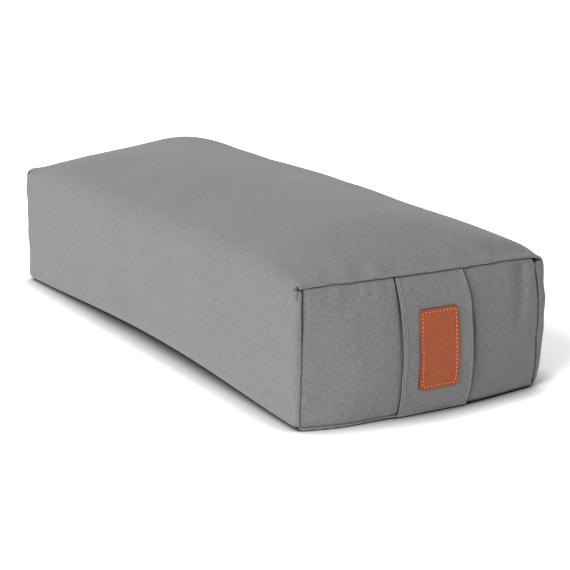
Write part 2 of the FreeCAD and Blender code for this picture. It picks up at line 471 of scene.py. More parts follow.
@dataclass(frozen=True)
class WovenCloth(Finish):
    """A plain-woven cloth with uneven yarns, and painted shade in its seams."""

    dark: float = 0.5
    pale: float = 1.5
    # how dark the painted shade in the seams is
    crease_shade: float = 0.13
    rough: float = 0.82
    rough_spread: float = 0.06
    specular: float = 0.2
    sheen: float = 0.2
    bump: float = 0.00022
    bump_strength: float = 0.8
    pitch: float = 0.00085
    weave_share: float = 0.25
    slub_length: float = 0.006
    slub_width: float = 0.0009
    warp_share: float = 0.75
    contrast: float = 0.8
    mottle: float = 0.12
    mottle_scale: float = 14.0

    def pattern(self, shader: Shader) -> tuple[Socket, Socket, Socket]:
        """Lays out the weave, the slubs and the mottling.

        Args:
            shader: the material that it is laid out in.

        Returns:
            The colour, the wear and the height.
        """
        weft, warp = shader.cloth_axes()
        waves = [shader.math("SINE", shader.times(axis, 2.0 * math.pi / self.pitch)) for axis in (weft, warp)]
        ways = ((weft, warp, 2.0 - self.warp_share), (warp, weft, self.warp_share))
        yarns = [shader.times(shader.stretched(along, across, self.slub_length, self.slub_width), share)
                 for along, across, share in ways]
        slubs = shader.math("ADD", *yarns)
        patches = shader.noise(shader.place(), self.mottle_scale, self.detail)
        shade = shader.math("ADD", shader.centred(slubs, 1.0, self.contrast),
                            shader.centred(patches, 0.5, self.mottle))
        colour = self.tint(shader, shader.math("ADD", shade, 0.5))
        return colour, slubs, shader.scaled(shader.times(*waves), self.weave_share, slubs)


@dataclass(frozen=True)
class SmoothLeather(Finish):
    """A smooth tanned leather, darker at its cut edge, partly a burnished edge and partly painted shade, with
    painted shade in its stitch groove.
    """

    dark: float = 0.62
    pale: float = 1.38
    # how dark the burnished edge and the painted shade are
    crease_shade: float = 0.28
    rough: float = 0.48
    rough_spread: float = 0.15
    specular: float = 0.35
    bump: float = 0.00012
    bump_strength: float = 0.7
    cloud_scale: float = 55.0
    cloud_detail: float = 4.0
    cloud_share: float = 0.5
    blotch_scale: float = 330.0
    blotch_share: float = 0.9
    tone_shift: float = 0.2
    speckle_scale: float = 900.0
    speckle_share: float = 0.5
    pore_scale: float = 1100.0
    pore_edge: float = 4.0
    pore_share: float = 0.5

    def pattern(self, shader: Shader) -> tuple[Socket, Socket, Socket]:
        """Lays out the clouds, the blotches, the speckle and the pores.

        Args:
            shader: the material that it is laid out in.

        Returns:
            The colour, the wear and the height.
        """
        place = shader.place()
        clouds = shader.noise(place, self.cloud_scale, self.cloud_detail)
        blotches = shader.noise(place, self.blotch_scale, self.detail)
        fine = shader.noise(place, self.speckle_scale, self.detail)
        tone = shader.scaled(clouds, self.cloud_share, shader.times(blotches, self.blotch_share))
        hide = self.tint(shader, shader.math("SUBTRACT", tone, self.tone_shift))
        speckle = shader.math("MAXIMUM", shader.centred(fine, 0.5, self.speckle_share), 0.0)
        colour = shader.blend(speckle, hide, toned(self.colour, self.dark))
        grain = shader.add("ShaderNodeTexVoronoi", Vector=place, Scale=self.pore_scale)
        grain.feature = "DISTANCE_TO_EDGE"
        pores = shader.math("MINIMUM", shader.times(grain.outputs["Distance"], self.pore_edge), 1.0)
        return colour, clouds, shader.scaled(pores, self.pore_share, fine)


@dataclass(frozen=True)
class TwistedThread(Finish):
    """A sewing thread whose plies wind round it, with painted light and shade on the plies."""

    dark: float = 0.72
    rough: float = 0.6
    bump: float = 0.0001
    bump_strength: float = 0.6
    twist: float = 0.0007
    fuzz_scale: float = 2500.0

    def pattern(self, shader: Shader) -> tuple[Socket, Socket, Socket]:
        """Lays out the plies and the fuzz.

        Args:
            shader: the material that it is laid out in.

        Returns:
            The colour, the wear and the height.
        """
        along, around = shader.cloth_axes()
        turn = shader.scaled(along, 2.0 * math.pi / self.twist, around)
        plies = shader.scaled(shader.math("SINE", turn), 0.5, 0.5)
        # painted light and shade: the colour follows the plies' height, palest on each crest and darkest in
        # the grooves
        return self.tint(shader, plies), shader.noise(shader.place(), self.fuzz_scale), plies


@dataclass(frozen=True)
class MouldedPlastic(Finish):
    """A matte moulded plastic with a faint texture."""

    grain_scale: float = 1500.0

    def pattern(self, shader: Shader) -> tuple[Socket, Socket, Socket]:
        """Lays out the texture: its colour, its wear and its height."""
        grain = shader.noise(shader.place(), self.grain_scale, self.detail)
        return self.tint(shader, grain), grain, grain


@dataclass(frozen=True)
class TapeWeave(Finish):
    """The close ribbed weave of a zip tape, with painted light and shade across its ribs."""

    dark: float = 0.75
    pale: float = 1.25
    rough: float = 0.78
    rough_spread: float = 0.1
    bump: float = 0.00015
    bump_strength: float = 0.7
    rib: float = 0.0011
    rib_share: float = 0.35
    fuzz_scale: float = 2000.0

    def pattern(self, shader: Shader) -> tuple[Socket, Socket, Socket]:
        """Lays out the ribs and the fuzz.

        Args:
            shader: the material that it is laid out in.

        Returns:
            The colour, the wear and the height.
        """
        place = shader.place()
        parts = shader.add("ShaderNodeSeparateXYZ", Vector=place)
        slope = shader.math("ADD", parts.outputs["X"], parts.outputs["Z"])
        ribs = shader.math("SINE", shader.times(slope, 2.0 * math.pi / self.rib))
        share = shader.scaled(ribs, self.rib_share, 0.5)
        # painted light and shade: the colour follows the ribs' height, palest on the crests and darkest in
        # the hollows
        return self.tint(shader, share), shader.noise(place, self.fuzz_scale), share


@dataclass(frozen=True)
class BrushedMetal(Finish):
    """A die-cast metal with fine brush marks along X and a few rubbed spots."""

    dark: float = 0.8
    rough: float = 0.24
    rough_spread: float = 0.22
    metallic: float = 1.0
    bump: float = 0.00003
    mark_length: float = 0.006
    mark_width: float = 0.00018
    spot_scale: float = 400.0

    def pattern(self, shader: Shader) -> tuple[Socket, Socket, Socket]:
        """Lays out the marks and the spots.

        Args:
            shader: the material that it is laid out in.

        Returns:
            The colour, the wear and the height.
        """
        place = shader.place()
        parts = shader.add("ShaderNodeSeparateXYZ", Vector=place).outputs
        marks = shader.stretched(parts["X"], parts["Z"], self.mark_length, self.mark_width)
        return self.tint(shader, shader.noise(place, self.spot_scale, self.detail)), marks, marks


@dataclass(frozen=True)
class GrainHusk(Finish):
    """A heap of dry husk flakes."""

    dark: float = 0.55
    pale: float = 1.3
    rough: float = 0.6
    bump: float = 0.002
    bump_strength: float = 0.8
    flake: float = 0.006

    def pattern(self, shader: Shader) -> tuple[Socket, Socket, Socket]:
        """Lays out the flakes.

        Args:
            shader: the material that it is laid out in.

        Returns:
            The colour, the wear and the height.
        """
        flakes = shader.add("ShaderNodeTexVoronoi", Vector=shader.place(), Scale=1.0 / self.flake)
        tone = shader.add("ShaderNodeSeparateColor", Color=flakes.outputs["Color"]).outputs["Red"]
        return self.tint(shader, tone), tone, shader.math("SUBTRACT", 1.0, flakes.outputs["Distance"])


@dataclass(frozen=True)
class Finishes:
    """Every finish on the bolster."""

    cover: bpy.types.Material
    thread: bpy.types.Material
    leather: bpy.types.Material
    leather_thread: bpy.types.Material
    tape: bpy.types.Material
    teeth: bpy.types.Material
    metal: bpy.types.Material
    bag: bpy.types.Material
    bag_thread: bpy.types.Material
    husk: bpy.types.Material

    @classmethod
    def make(cls) -> Finishes:
        """Makes the finishes.

        Returns:
            The finishes.
        """
        finishes = {
            "cover": WovenCloth("grey_cotton", (0.182, 0.178, 0.180)),
            "thread": TwistedThread("grey_thread", (0.36, 0.35, 0.35)),
            "leather": SmoothLeather("tan_leather", (0.305, 0.062, 0.0155)),
            "leather_thread": TwistedThread("orange_thread", (0.76, 0.26, 0.11)),
            "tape": TapeWeave("zip_tape", (0.17, 0.17, 0.17)),
            "teeth": MouldedPlastic("zip_teeth", (0.14, 0.14, 0.14)),
            "metal": BrushedMetal("zip_metal", (0.55, 0.55, 0.56)),
            "bag": WovenCloth("natural_cotton", (0.62, 0.58, 0.50), pitch=0.0006, contrast=0.25, mottle=0.06),
            "bag_thread": TwistedThread("natural_thread", (0.80, 0.76, 0.66)),
            "husk": GrainHusk("grain_husk", (0.62, 0.45, 0.22)),
        }
        return cls(**{part: finish.material() for part, finish in finishes.items()})


# Sewn cushion

@dataclass(frozen=True)
class Swelling:
    """A soft high or low place in the filling, on the top (x, y) or on an end (y, z)."""

    first: float
    second: float
    first_reach: float
    second_reach: float
    height: float

    def at(self, first: Array, second: Array) -> Array:
        """How far it pushes the cloth out at each place."""
        return (self.height * bell(first, self.first, self.first_reach)
                * bell(second, self.second, self.second_reach))


@dataclass(frozen=True)
class CushionForm:
    """The sewn form: a swollen length between two upright end panels."""

    half_width: float
    half_length: float
    end_height: float
    zip_low: float
    zip_high: float
    middle_y: float = 0.0
    floor: float = 0.0
    zip_columns: int = 5
    end_crown: float = 0.0015
    edge_rise: float = 0.005
    middle_crown: float = 0.0401
    end_corner: float = 0.010
    top_corner: float = 0.035
    base_corner: float = 0.036
    base_end_corner: float = 0.011
    base_power: float = 1.6
    end_bulge: float = 0.0137
    end_dome: float = 0.0055
    dome_across: Span = (-1.05, -0.4)
    dome_limit: float = 1.1
    swell_power: float = 6.7
    side_roll: float = 0.006
    top_roll: float = 0.004
    base_roll: float = 0.005
    low_side_seam: SeamLine = ((0.0, 0.0085),)
    high_side_seam: SeamLine = ((0.0, 0.0085),)
    top_seam: float = 0.0018
    base_seam: float = 0.004
    base_seam_across: Span = (1.3, -1.0)
    droop: float = 0.0
    droop_upright: Span = (0.6, 1.0)
    base_tuck: float = 0.0
    tuck_upright: Span = (0.2, 0.0)
    tuck_across: Span = (-0.7, 0.3)
    corner_across: Span = (0.8, 1.0)
    settle_reach: float = 0.03
    flare: float = 0.0
    flare_across: Span = (0.85, 1.0)
    flare_reach: float = 0.05
    top_swellings: tuple[Swelling, ...] = ()
    end_swellings: tuple[Swelling, ...] = ()

    def end_x(self, y: Array, z: Array, side: Side) -> Array:
        """Reach of an end's surface from the middle.

        Args:
            y: places across the end.
            z: places up the end.
            side: which end.

        Returns:
            The surface's distance in X at each place.
        """
        across = (y - self.middle_y) / self.half_width
        half = self.end_height / 2.0
        upright = 1.0 - np.minimum(np.abs(z - self.floor - half) / half, self.dome_limit) ** 2
        dome = self.end_dome * smooth_step(*self.dome_across, across)
        reach = self.half_length + self.end_bulge * (1.0 - across ** 2) + dome * upright
        if side is Side.POSITIVE:
            reach = reach + sum(swelling.at(y, z) for swelling in self.end_swellings)
        return reach

    def settle(self, points: Array) -> None:
        """Lets the front end's +Y corners sink in: the top one down, the base one up and in.

        Args:
            points: places on the cloth, changed in place.
        """
        across = (points[..., 1] - self.middle_y) / self.half_width
        upright = (points[..., 2] - self.floor) / self.end_height
        near = bell(points[..., 0], self.half_length, self.settle_reach)
        far = bell(points[..., 0], self.half_length, self.flare_reach)
        flared = smooth_step(*self.flare_across, across) * far
        corner = smooth_step(*self.corner_across, across)
        top = corner * smooth_step(*self.droop_upright, upright) * near
        base = smooth_step(*self.tuck_upright, upright) * near
        points[..., 2] += self.base_tuck * base * smooth_step(*self.tuck_across, across) - self.droop * top
        points[..., 1] += self.flare * flared - self.base_tuck * base * corner

    def rings(self, shares: Array, fine: int) -> tuple[Array, Array]:
        """Outlines across the length.

        Args:
            shares: place of each outline along the half length, from -1 to 1.
            fine: number of points on a top corner.

        Returns:
            The outlines' Y and Z, one row per outline, going round from the base's +Y corner.
        """
        swell = (1.0 - np.abs(shares) ** self.swell_power)[:, None]
        rise = mix(self.end_crown, self.middle_crown, swell)
        crown = (self.half_width ** 2 + rise ** 2) / (2.0 * rise)
        crown_z = self.end_height + self.edge_rise * swell + rise - crown
        top = mix(self.end_corner, self.top_corner, swell)
        base_swell = ((1.0 - shares ** 2) ** self.base_power)[:, None]
        low = mix(self.base_end_corner, self.base_corner, base_swell)
        top_y = self.half_width - top
        top_z = crown_z + np.sqrt((crown - top) ** 2 - top_y ** 2)
        low_y = self.half_width - low
        lean = np.arctan2(top_z - crown_z, top_y)

        # the base corner, the side with the zip's slot, and the top corner
        turn = np.linspace(-math.pi / 2.0, 0.0, fine // 2)[None, :]
        corner_y = low_y + low * np.cos(turn)
        corner_z = low + low * np.sin(turn)
        zip_low, zip_high = (np.full_like(low, z - self.floor) for z in (self.zip_low, self.zip_high))
        levels = [(low, zip_low, fine // 2), (zip_low, zip_high, self.zip_columns), (zip_high, top_z, fine)]
        side_z = np.concatenate([mix(start, end, np.arange(1, count + 1)[None, :] / count)
                                 for start, end, count in levels], axis=1)[:, :-1]
        side_y = np.full_like(side_z, self.half_width)
        turn = np.linspace(0.0, 1.0, fine)[None, :] * lean
        right_y = np.concatenate([corner_y, side_y, top_y + top * np.cos(turn)], axis=1)
        right_z = np.concatenate([corner_z, side_z, top_z + top * np.sin(turn)], axis=1)

        # the crown, the same side mirrored, and the base
        sweep = np.linspace(0.0, 1.0, 2 * fine + 1)[None, 1:-1]
        turn = mix(lean, math.pi - lean, sweep)
        crown_arc = crown_z + crown * np.sin(turn)
        base_y = low_y * mix(-1.0, 1.0, sweep)
        y = np.concatenate([right_y, crown * np.cos(turn), -right_y[:, ::-1], base_y], axis=1)
        z = np.concatenate([right_z, crown_arc, right_z[:, ::-1], np.zeros_like(base_y)], axis=1)
        return y + self.middle_y, z + self.floor

    def corner_columns(self, fine: int) -> tuple[int, int, int]:
        """Columns of the middles of three corners.

        Args:
            fine: number of points on a top corner.

        Returns:
            The column of the +Y top corner, of the -Y top corner and of the -Y base corner.
        """
        start = 2 * (fine // 2) + self.zip_columns + fine - 1
        right = start + fine // 2
        last = 2 * (start + fine) + 2 * fine - 2
        return right, last - right, last - fine // 4


@dataclass(frozen=True)
class Gathers:
    """Twisted folds in the front rim's base, towards its -Y corner."""

    depth: float = 0.0009
    pitch: float = 0.014
    upward: float = 0.7
    forward: float = 0.4
    fine_share: float = 0.5
    fine_pitch: float = 0.009
    across: Span = (-0.62, -0.72)
    upright: Span = (0.012, 0.003)
    rim: float = 0.004
    reach: float = 0.008

    def at(self, form: CushionForm, points: Array) -> Array:
        """How far each point moves along its normal.

        Args:
            form: the cushion's form.
            points: the wrap's grid.

        Returns:
            The distances.
        """
        x = points[..., 0]
        y = points[..., 1] - form.middle_y
        z = points[..., 2] - form.floor
        twisted = np.sin(2.0 * math.pi * (y + self.upward * z + self.forward * x) / self.pitch)
        folds = twisted + self.fine_share * np.sin(2.0 * math.pi * y / self.fine_pitch)
        share = smooth_step(*self.across, y / form.half_width) * smooth_step(*self.upright, z)
        return self.depth * folds * share * bell(x, form.half_length + self.rim, self.reach)


@dataclass(frozen=True)
class CornerFold:
    """A short fold down the front rim from its -Y top corner, with painted shade along it."""

    depth: float = 0.0012
    # how dark the painted shade along the fold is
    tint: float = 0.45
    start: Span = (0.002, 0.005)
    stop: Span = (0.019, 0.006)
    inward: Span = (-0.016, -0.006)
    rows: float = 1.5

    def at(self, form: CushionForm, points: Array, middle: float) -> Array:
        """How deep the fold is, from 0 to 1; the same share sets its painted shade.

        Args:
            form: the cushion's form.
            points: the wrap's grid.
            middle: the row in the middle of the rim.

        Returns:
            The share at each point.
        """
        drop = form.floor + form.end_height - points[..., 2]
        share = smooth_step(*self.stop, drop) * smooth_step(*self.start, drop)
        beside = form.middle_y - form.half_width - points[..., 1]
        rim = bell(np.arange(len(points)) - middle, 0.0, self.rows)[:, None]
        return rim * share * smooth_step(*self.inward, beside)


@dataclass(frozen=True)
class StrapPlace:
    """Where the strap crosses the front panel, what it does to the panel and its seams, and the painted shade
    beside it.
    """

    half: float
    slant: float = 0.003
    pinch: float = 0.0045
    lift: float = 0.0018
    lift_outside: float = 0.006
    lift_inside: float = 0.002
    press: float = 0.0042
    press_outside: float = 0.001
    press_inside: float = 0.003
    top_reach: float = 0.045
    base_reach: float = 0.02
    base_share: float = 0.5
    # painted shade beside the strap's +Y edge: its darkness, start, bow and softness
    shade: float = 0.6
    shade_start: float = 0.0025
    shade_bow: float = 0.005
    shade_soft: float = 0.0012
    edge_columns: int = 19
    edge_room: float = 1.1

    def proud(self, y: Array) -> Array:
        """How far the strap's ends push the seams out."""
        return self.lift * smooth_step(self.half + self.lift_outside, self.half - self.lift_inside, np.abs(y))

    def columns(self, spread: Array, half_width: float) -> Array:
        """Crowds a panel's columns together along the strap's edges.

        Args:
            spread: the columns' places, from 0 to 1 across the panel.
            half_width: half of the panel's width.

        Returns:
            The new places.
        """
        zone = self.press_inside + self.slant + self.pinch
        edges = (np.linspace(-zone, zone, self.edge_columns) + self.half) / (2.0 * half_width)
        away = np.abs(np.abs(spread - 0.5) * 2.0 * half_width - self.half) > self.edge_room * zone
        return np.sort(np.concatenate([spread[away], 0.5 - edges, 0.5 + edges]))

    def aside(self, y: Array, height: Array) -> Array:
        """Place across from the strap's middle, with its lean and its narrowing taken out."""
        aside = y + self.slant * height
        return aside + np.where(aside > 0.0, self.pinch * np.maximum(height, 0.0) ** 2, 0.0)

    def pressed(self, aside: Array, from_top: Array, from_base: Array) -> Array:
        """How far the strap presses the panel in.

        Args:
            aside: place across from the strap's middle.
            from_top: distance from the top seam.
            from_base: distance from the base seam.

        Returns:
            The distances.
        """
        under = smooth_step(self.half + self.press_outside, self.half - self.press_inside, np.abs(aside))
        base = self.base_share * fading(from_base, self.base_reach)
        return self.press * under * np.maximum(fading(from_top, self.top_reach), base)

    def painted_shade(self, aside: Array, height: Array) -> Array:
        """How much painted shade the panel has beside the strap's +Y edge, where the strap's shadow falls."""
        past = aside - self.half - self.shade_start - self.shade_bow * np.maximum(1.0 - height ** 2, 0.0)
        return self.shade * smooth_step(self.shade_soft, -self.shade_soft, past) * (aside > 0.0)


@dataclass
class SewnShell:
    """A cushion cover: one wrap round the length and a rim at each end."""

    form: CushionForm
    name: str
    zip_reach: float
    strap: StrapPlace | None = None
    gathers: Gathers = Gathers()
    fold: CornerFold = CornerFold()
    fine: int = 28
    near_step: float = 0.0014
    far_step: float = 0.0052
    growth: float = 1.12
    roll_steps: int = 10
    lump: float = 0.0005
    lump_waves: Span = (0.08, 0.2)
    lump_gap: Span = (0.0, 0.05)
    pucker: float = 0.0007
    pucker_waves: Span = (0.016, 0.05)
    pucker_stretch: float = 0.3
    pucker_reach: float = 0.022
    free_height: Span = (0.004, 0.03)
    wander: float = 0.0003
    wander_waves: Span = (0.018, 0.06)
    notch: float = 0.0022
    notch_widths: tuple[float, ...] = (2.0, 3.2, 1.0)
    notch_depths: tuple[float, ...] = (1.0, 1.3, 0.3)
    top_gap: Span = (0.0, 0.02)
    top_height: Span = (0.08, 0.15)
    lip_depth: float = 0.006
    lip_reach: float = 0.0007
    lip_shares: tuple[float, ...] = (0.25, 0.6, 1.0)
    # painted shade on the row at each seam
    seam_shade: float = 0.25
    floor_clear: float = 0.0012
    slot_room: float = 0.0004
    seams: dict[Side, Array] = field(default_factory=dict)

    def shares(self) -> Array:
        """Rows along the length, closer together towards the ends.

        Returns:
            Places from -1 at the rear roll to 1 at the front roll.
        """
        reach = self.form.half_length
        places = [0.0]
        step = self.near_step
        while places[-1] + step < reach:
            places.append(places[-1] + step)
            step = min(step * self.growth, self.far_step)
        half = 1.0 - np.array(places) / reach
        edge = self.zip_reach / (reach - self.form.side_roll)
        half[np.argmin(np.abs(half - edge))] = edge
        half = half[half > self.near_step / reach]
        return np.concatenate([-half, [0.0], half[::-1]])

    @staticmethod
    def weights(y: Array, z: Array) -> tuple[Array, Array, Array]:
        """How far each point of an end outline belongs to the sides, the top and the base.

        Args:
            y: the outline's Y.
            z: the outline's Z.

        Returns:
            The three shares, which add up to 1.
        """
        run_y, run_z = (np.roll(line, -1) - np.roll(line, 1) for line in (y, z))
        size = np.hypot(run_y, run_z)
        up = -run_y / size
        return (run_z / size) ** 2, np.maximum(up, 0.0) ** 2, np.maximum(-up, 0.0) ** 2

    def roll(self, side: Side, start: Array, corner: Array, shares: tuple[Array, Array, Array]) -> Array:
        """The rolled rim at one end, worked out as for the front.

        Args:
            side: which end.
            start: where the rim leaves the length, round the outline.
            corner: where the length would meet the end.
            shares: how far each point belongs to the sides, the top and the base.

        Returns:
            The rim's rows, from the length to the lip behind the seam.
        """
        form = self.form
        on_side, on_top, on_base = shares
        across = corner[:, 1] - form.middle_y
        height = corner[:, 2] - form.floor
        ripples = Ripples(Seed.WANDER + side.value, *self.wander_waves)
        wander = ripples.at(run_length(corner), 0.0) * self.wander
        insets = [np.interp(height, *zip(*line)) for line in (form.low_side_seam, form.high_side_seam)]
        inset = np.where(across < 0.0, *insets) + wander
        base_seam = form.base_seam * smooth_step(*form.base_seam_across, across / form.half_width)
        seam_y = corner[:, 1] - np.sign(across) * on_side * inset
        seam_z = corner[:, 2] - on_top * (form.top_seam - wander) + on_base * base_seam
        seam = np.stack([form.end_x(seam_y, seam_z, side), seam_y, seam_z], axis=1)
        if self.strap and side is Side.POSITIVE:
            proud = self.strap.proud(seam_y) * (on_top + on_base)
            seam[:, 0] += proud
            corner = corner + proud[:, None] * np.array([1.0, 0.0, 0.0])
        self.seams[side] = seam
        rows = []
        for step in range(1, self.roll_steps + 1):
            share = step / self.roll_steps
            rows.append((1 - share) ** 2 * start + 2 * share * (1 - share) * corner + share ** 2 * seam)
        inward = (seam - corner) * np.array([0.0, 1.0, 1.0])
        inward /= np.maximum(np.linalg.norm(inward, axis=1, keepdims=True), SMALLEST)
        for share in self.lip_shares:
            lip = seam + inward * self.lip_reach * share
            lip[:, 0] -= self.lip_depth * share
            rows.append(lip)
        return np.stack(rows)

    def surface(self) -> tuple[Array, Array, Array]:
        """The wrap's grid, from the rear lip to the front lip.

        Returns:
            The points, the distance of each row from its rim, and the painted seam shade of each point.
        """
        form = self.form
        shares = self.shares()
        y, z = form.rings(shares, self.fine)
        end_y, end_z = y[-1], z[-1]
        parts = self.weights(end_y, end_z)
        depth = parts[0] * form.side_roll + parts[1] * form.top_roll + parts[2] * form.base_roll
        rolls = []
        spans = []
        for side in Side:
            span = form.end_x(end_y, end_z, side) - depth
            start = np.stack([span, end_y, end_z], axis=1)
            run = start - np.stack([shares[-2] * span, y[-2], z[-2]], axis=1)
            corner = start + run * (depth / run[:, 0])[:, None]
            rolls.append(self.roll(side, start, corner, parts))
            spans.append(span)
        rear, front = rolls
        length = np.stack([shares[:, None] * np.where(shares[:, None] < 0.0, *spans), y, z], axis=2)
        points = np.concatenate([rear[::-1] * np.array([-1.0, 1.0, 1.0]), length, front])
        lips = len(front)
        gap = np.pad((1.0 - np.abs(shares)) * form.half_length, lips)
        # painted shade: the lips behind each seam are fully dark and the seam's row partly dark
        tail = np.ones(lips)
        tail[:self.roll_steps] = 0.0
        tail[self.roll_steps - 1] = self.seam_shade
        dark = np.zeros(points.shape[:2])
        dark[:lips] = tail[::-1, None]
        dark[-lips:] = tail[:, None]
        return points, gap, dark

    def shape_cloth(self, points: Array, gap: Array, dark: Array) -> None:
        """Adds the filling's unevenness, the seam's puckers and the corner notches, with painted shade in the
        notches.

        Args:
            points: the wrap's grid, changed in place.
            gap: distance of each row from its rim.
            dark: painted shade of each point, changed in place.
        """
        form = self.form
        normals = ring_normals(points)
        around = self.around(points)
        along = points[:, :, 0]
        behind = len(self.lip_shares)
        lips = self.roll_steps + behind
        share = np.maximum(1.0 - np.arange(1, lips + 1) / self.roll_steps, 0.0)
        fade = np.ones(len(points))
        fade[-lips:] = share
        fade[:lips] = share[::-1]
        lumps = Ripples(Seed.LUMPS, *self.lump_waves).at(along, around[None, :]) * self.lump
        lumps *= smooth_step(*self.lump_gap, gap)[:, None]
        puckers = Ripples(Seed.PUCKERS, *self.pucker_waves).at(self.pucker_stretch * along, around[None, :])
        puckers *= self.pucker
        puckers *= (fading(gap, self.pucker_reach) * fade)[:, None]
        height = (lumps + puckers) * smooth_step(*self.free_height, points[:, :, 2] - form.floor)
        if form.base_tuck:
            height += self.gathers.at(form, points) * fade[:, None]
            tuck = self.fold.at(form, points, len(points) - behind - self.roll_steps / 2.0)
            height -= self.fold.depth * tuck
            # painted shade along the corner fold
            dark[:] = np.maximum(dark, self.fold.tint * tuck)
        near = np.zeros(len(points))
        near[-lips - behind:-behind] = 1.0
        near[behind:lips + behind] = 1.0
        columns = np.arange(points.shape[1])
        notches = zip(form.corner_columns(self.fine), self.notch_widths, self.notch_depths)
        for column, wide, deep in notches:
            slit = bell(columns, column, wide)[None, :] * near[:, None]
            height -= slit * self.notch * deep
            # painted shade in each corner notch
            dark[:] = np.maximum(dark, slit)
        points += normals * height[:, :, None]
        rise = sum(swelling.at(points[:, :, 0], points[:, :, 1]) for swelling in form.top_swellings)
        inner = smooth_step(*self.top_gap, gap)[:, None]
        inner = inner * smooth_step(*self.top_height, points[:, :, 2] - form.floor)
        points[:, :, 2] += rise * inner
        form.settle(points)
        points[:, :, 2] = np.maximum(points[:, :, 2], form.floor)
        for lip in (points[:behind], points[-behind:]):
            lip[:, :, 2] = np.maximum(lip[:, :, 2], form.floor + self.floor_clear)

    @staticmethod
    def around(points: Array) -> Array:
        """Way round the wrap's middle outline, up to each column."""
        return run_length(points[len(points) // 2])

    def wrap(self) -> bpy.types.Object:
        """Makes the wrap, with its zip slot.

        Returns:
            The wrap.
        """
        points, gap, dark = self.surface()
        self.shape_cloth(points, gap, dark)
        rows, columns = points.shape[:2]
        around = self.around(points)
        run = np.cumsum(np.linalg.norm(np.diff(points, axis=0, prepend=points[:1]), axis=2).mean(axis=1))
        uvs = np.stack(np.broadcast_arrays(around[None, :], run[:, None]), axis=2).reshape(-1, 2)
        places = points.reshape(-1, 3)
        inside = ((np.abs(places[:, 0]) < self.zip_reach + self.slot_room)
                  & (places[:, 2] > self.form.zip_low - self.slot_room)
                  & (places[:, 2] < self.form.zip_high + self.slot_room)
                  & (places[:, 1] > self.form.middle_y))
        faces = [face for face in grid_faces(rows, columns, True) if not inside[list(face)].all()]
        closing = around[-1] + float(np.linalg.norm(points[rows // 2, 0] - points[rows // 2, -1]))
        return add_mesh(self.name + "_wrap_cloth", places, faces, uvs, dark.reshape(-1), closing)


@dataclass(frozen=True)
class PanelGrid:
    """Places on an end panel, and how far they lie inside its seams."""

    y: Array
    z: Array
    from_side: Array
    from_top: Array
    from_base: Array

    @property
    def from_ends(self) -> Array:
        """Distance from the nearer one of the top seam and the base seam."""
        return np.minimum(self.from_top, self.from_base)

    @property
    def edge(self) -> Array:
        """Distance from the nearest seam, and 0 outside it."""
        return np.maximum(np.minimum(self.from_side, self.from_ends), 0.0)


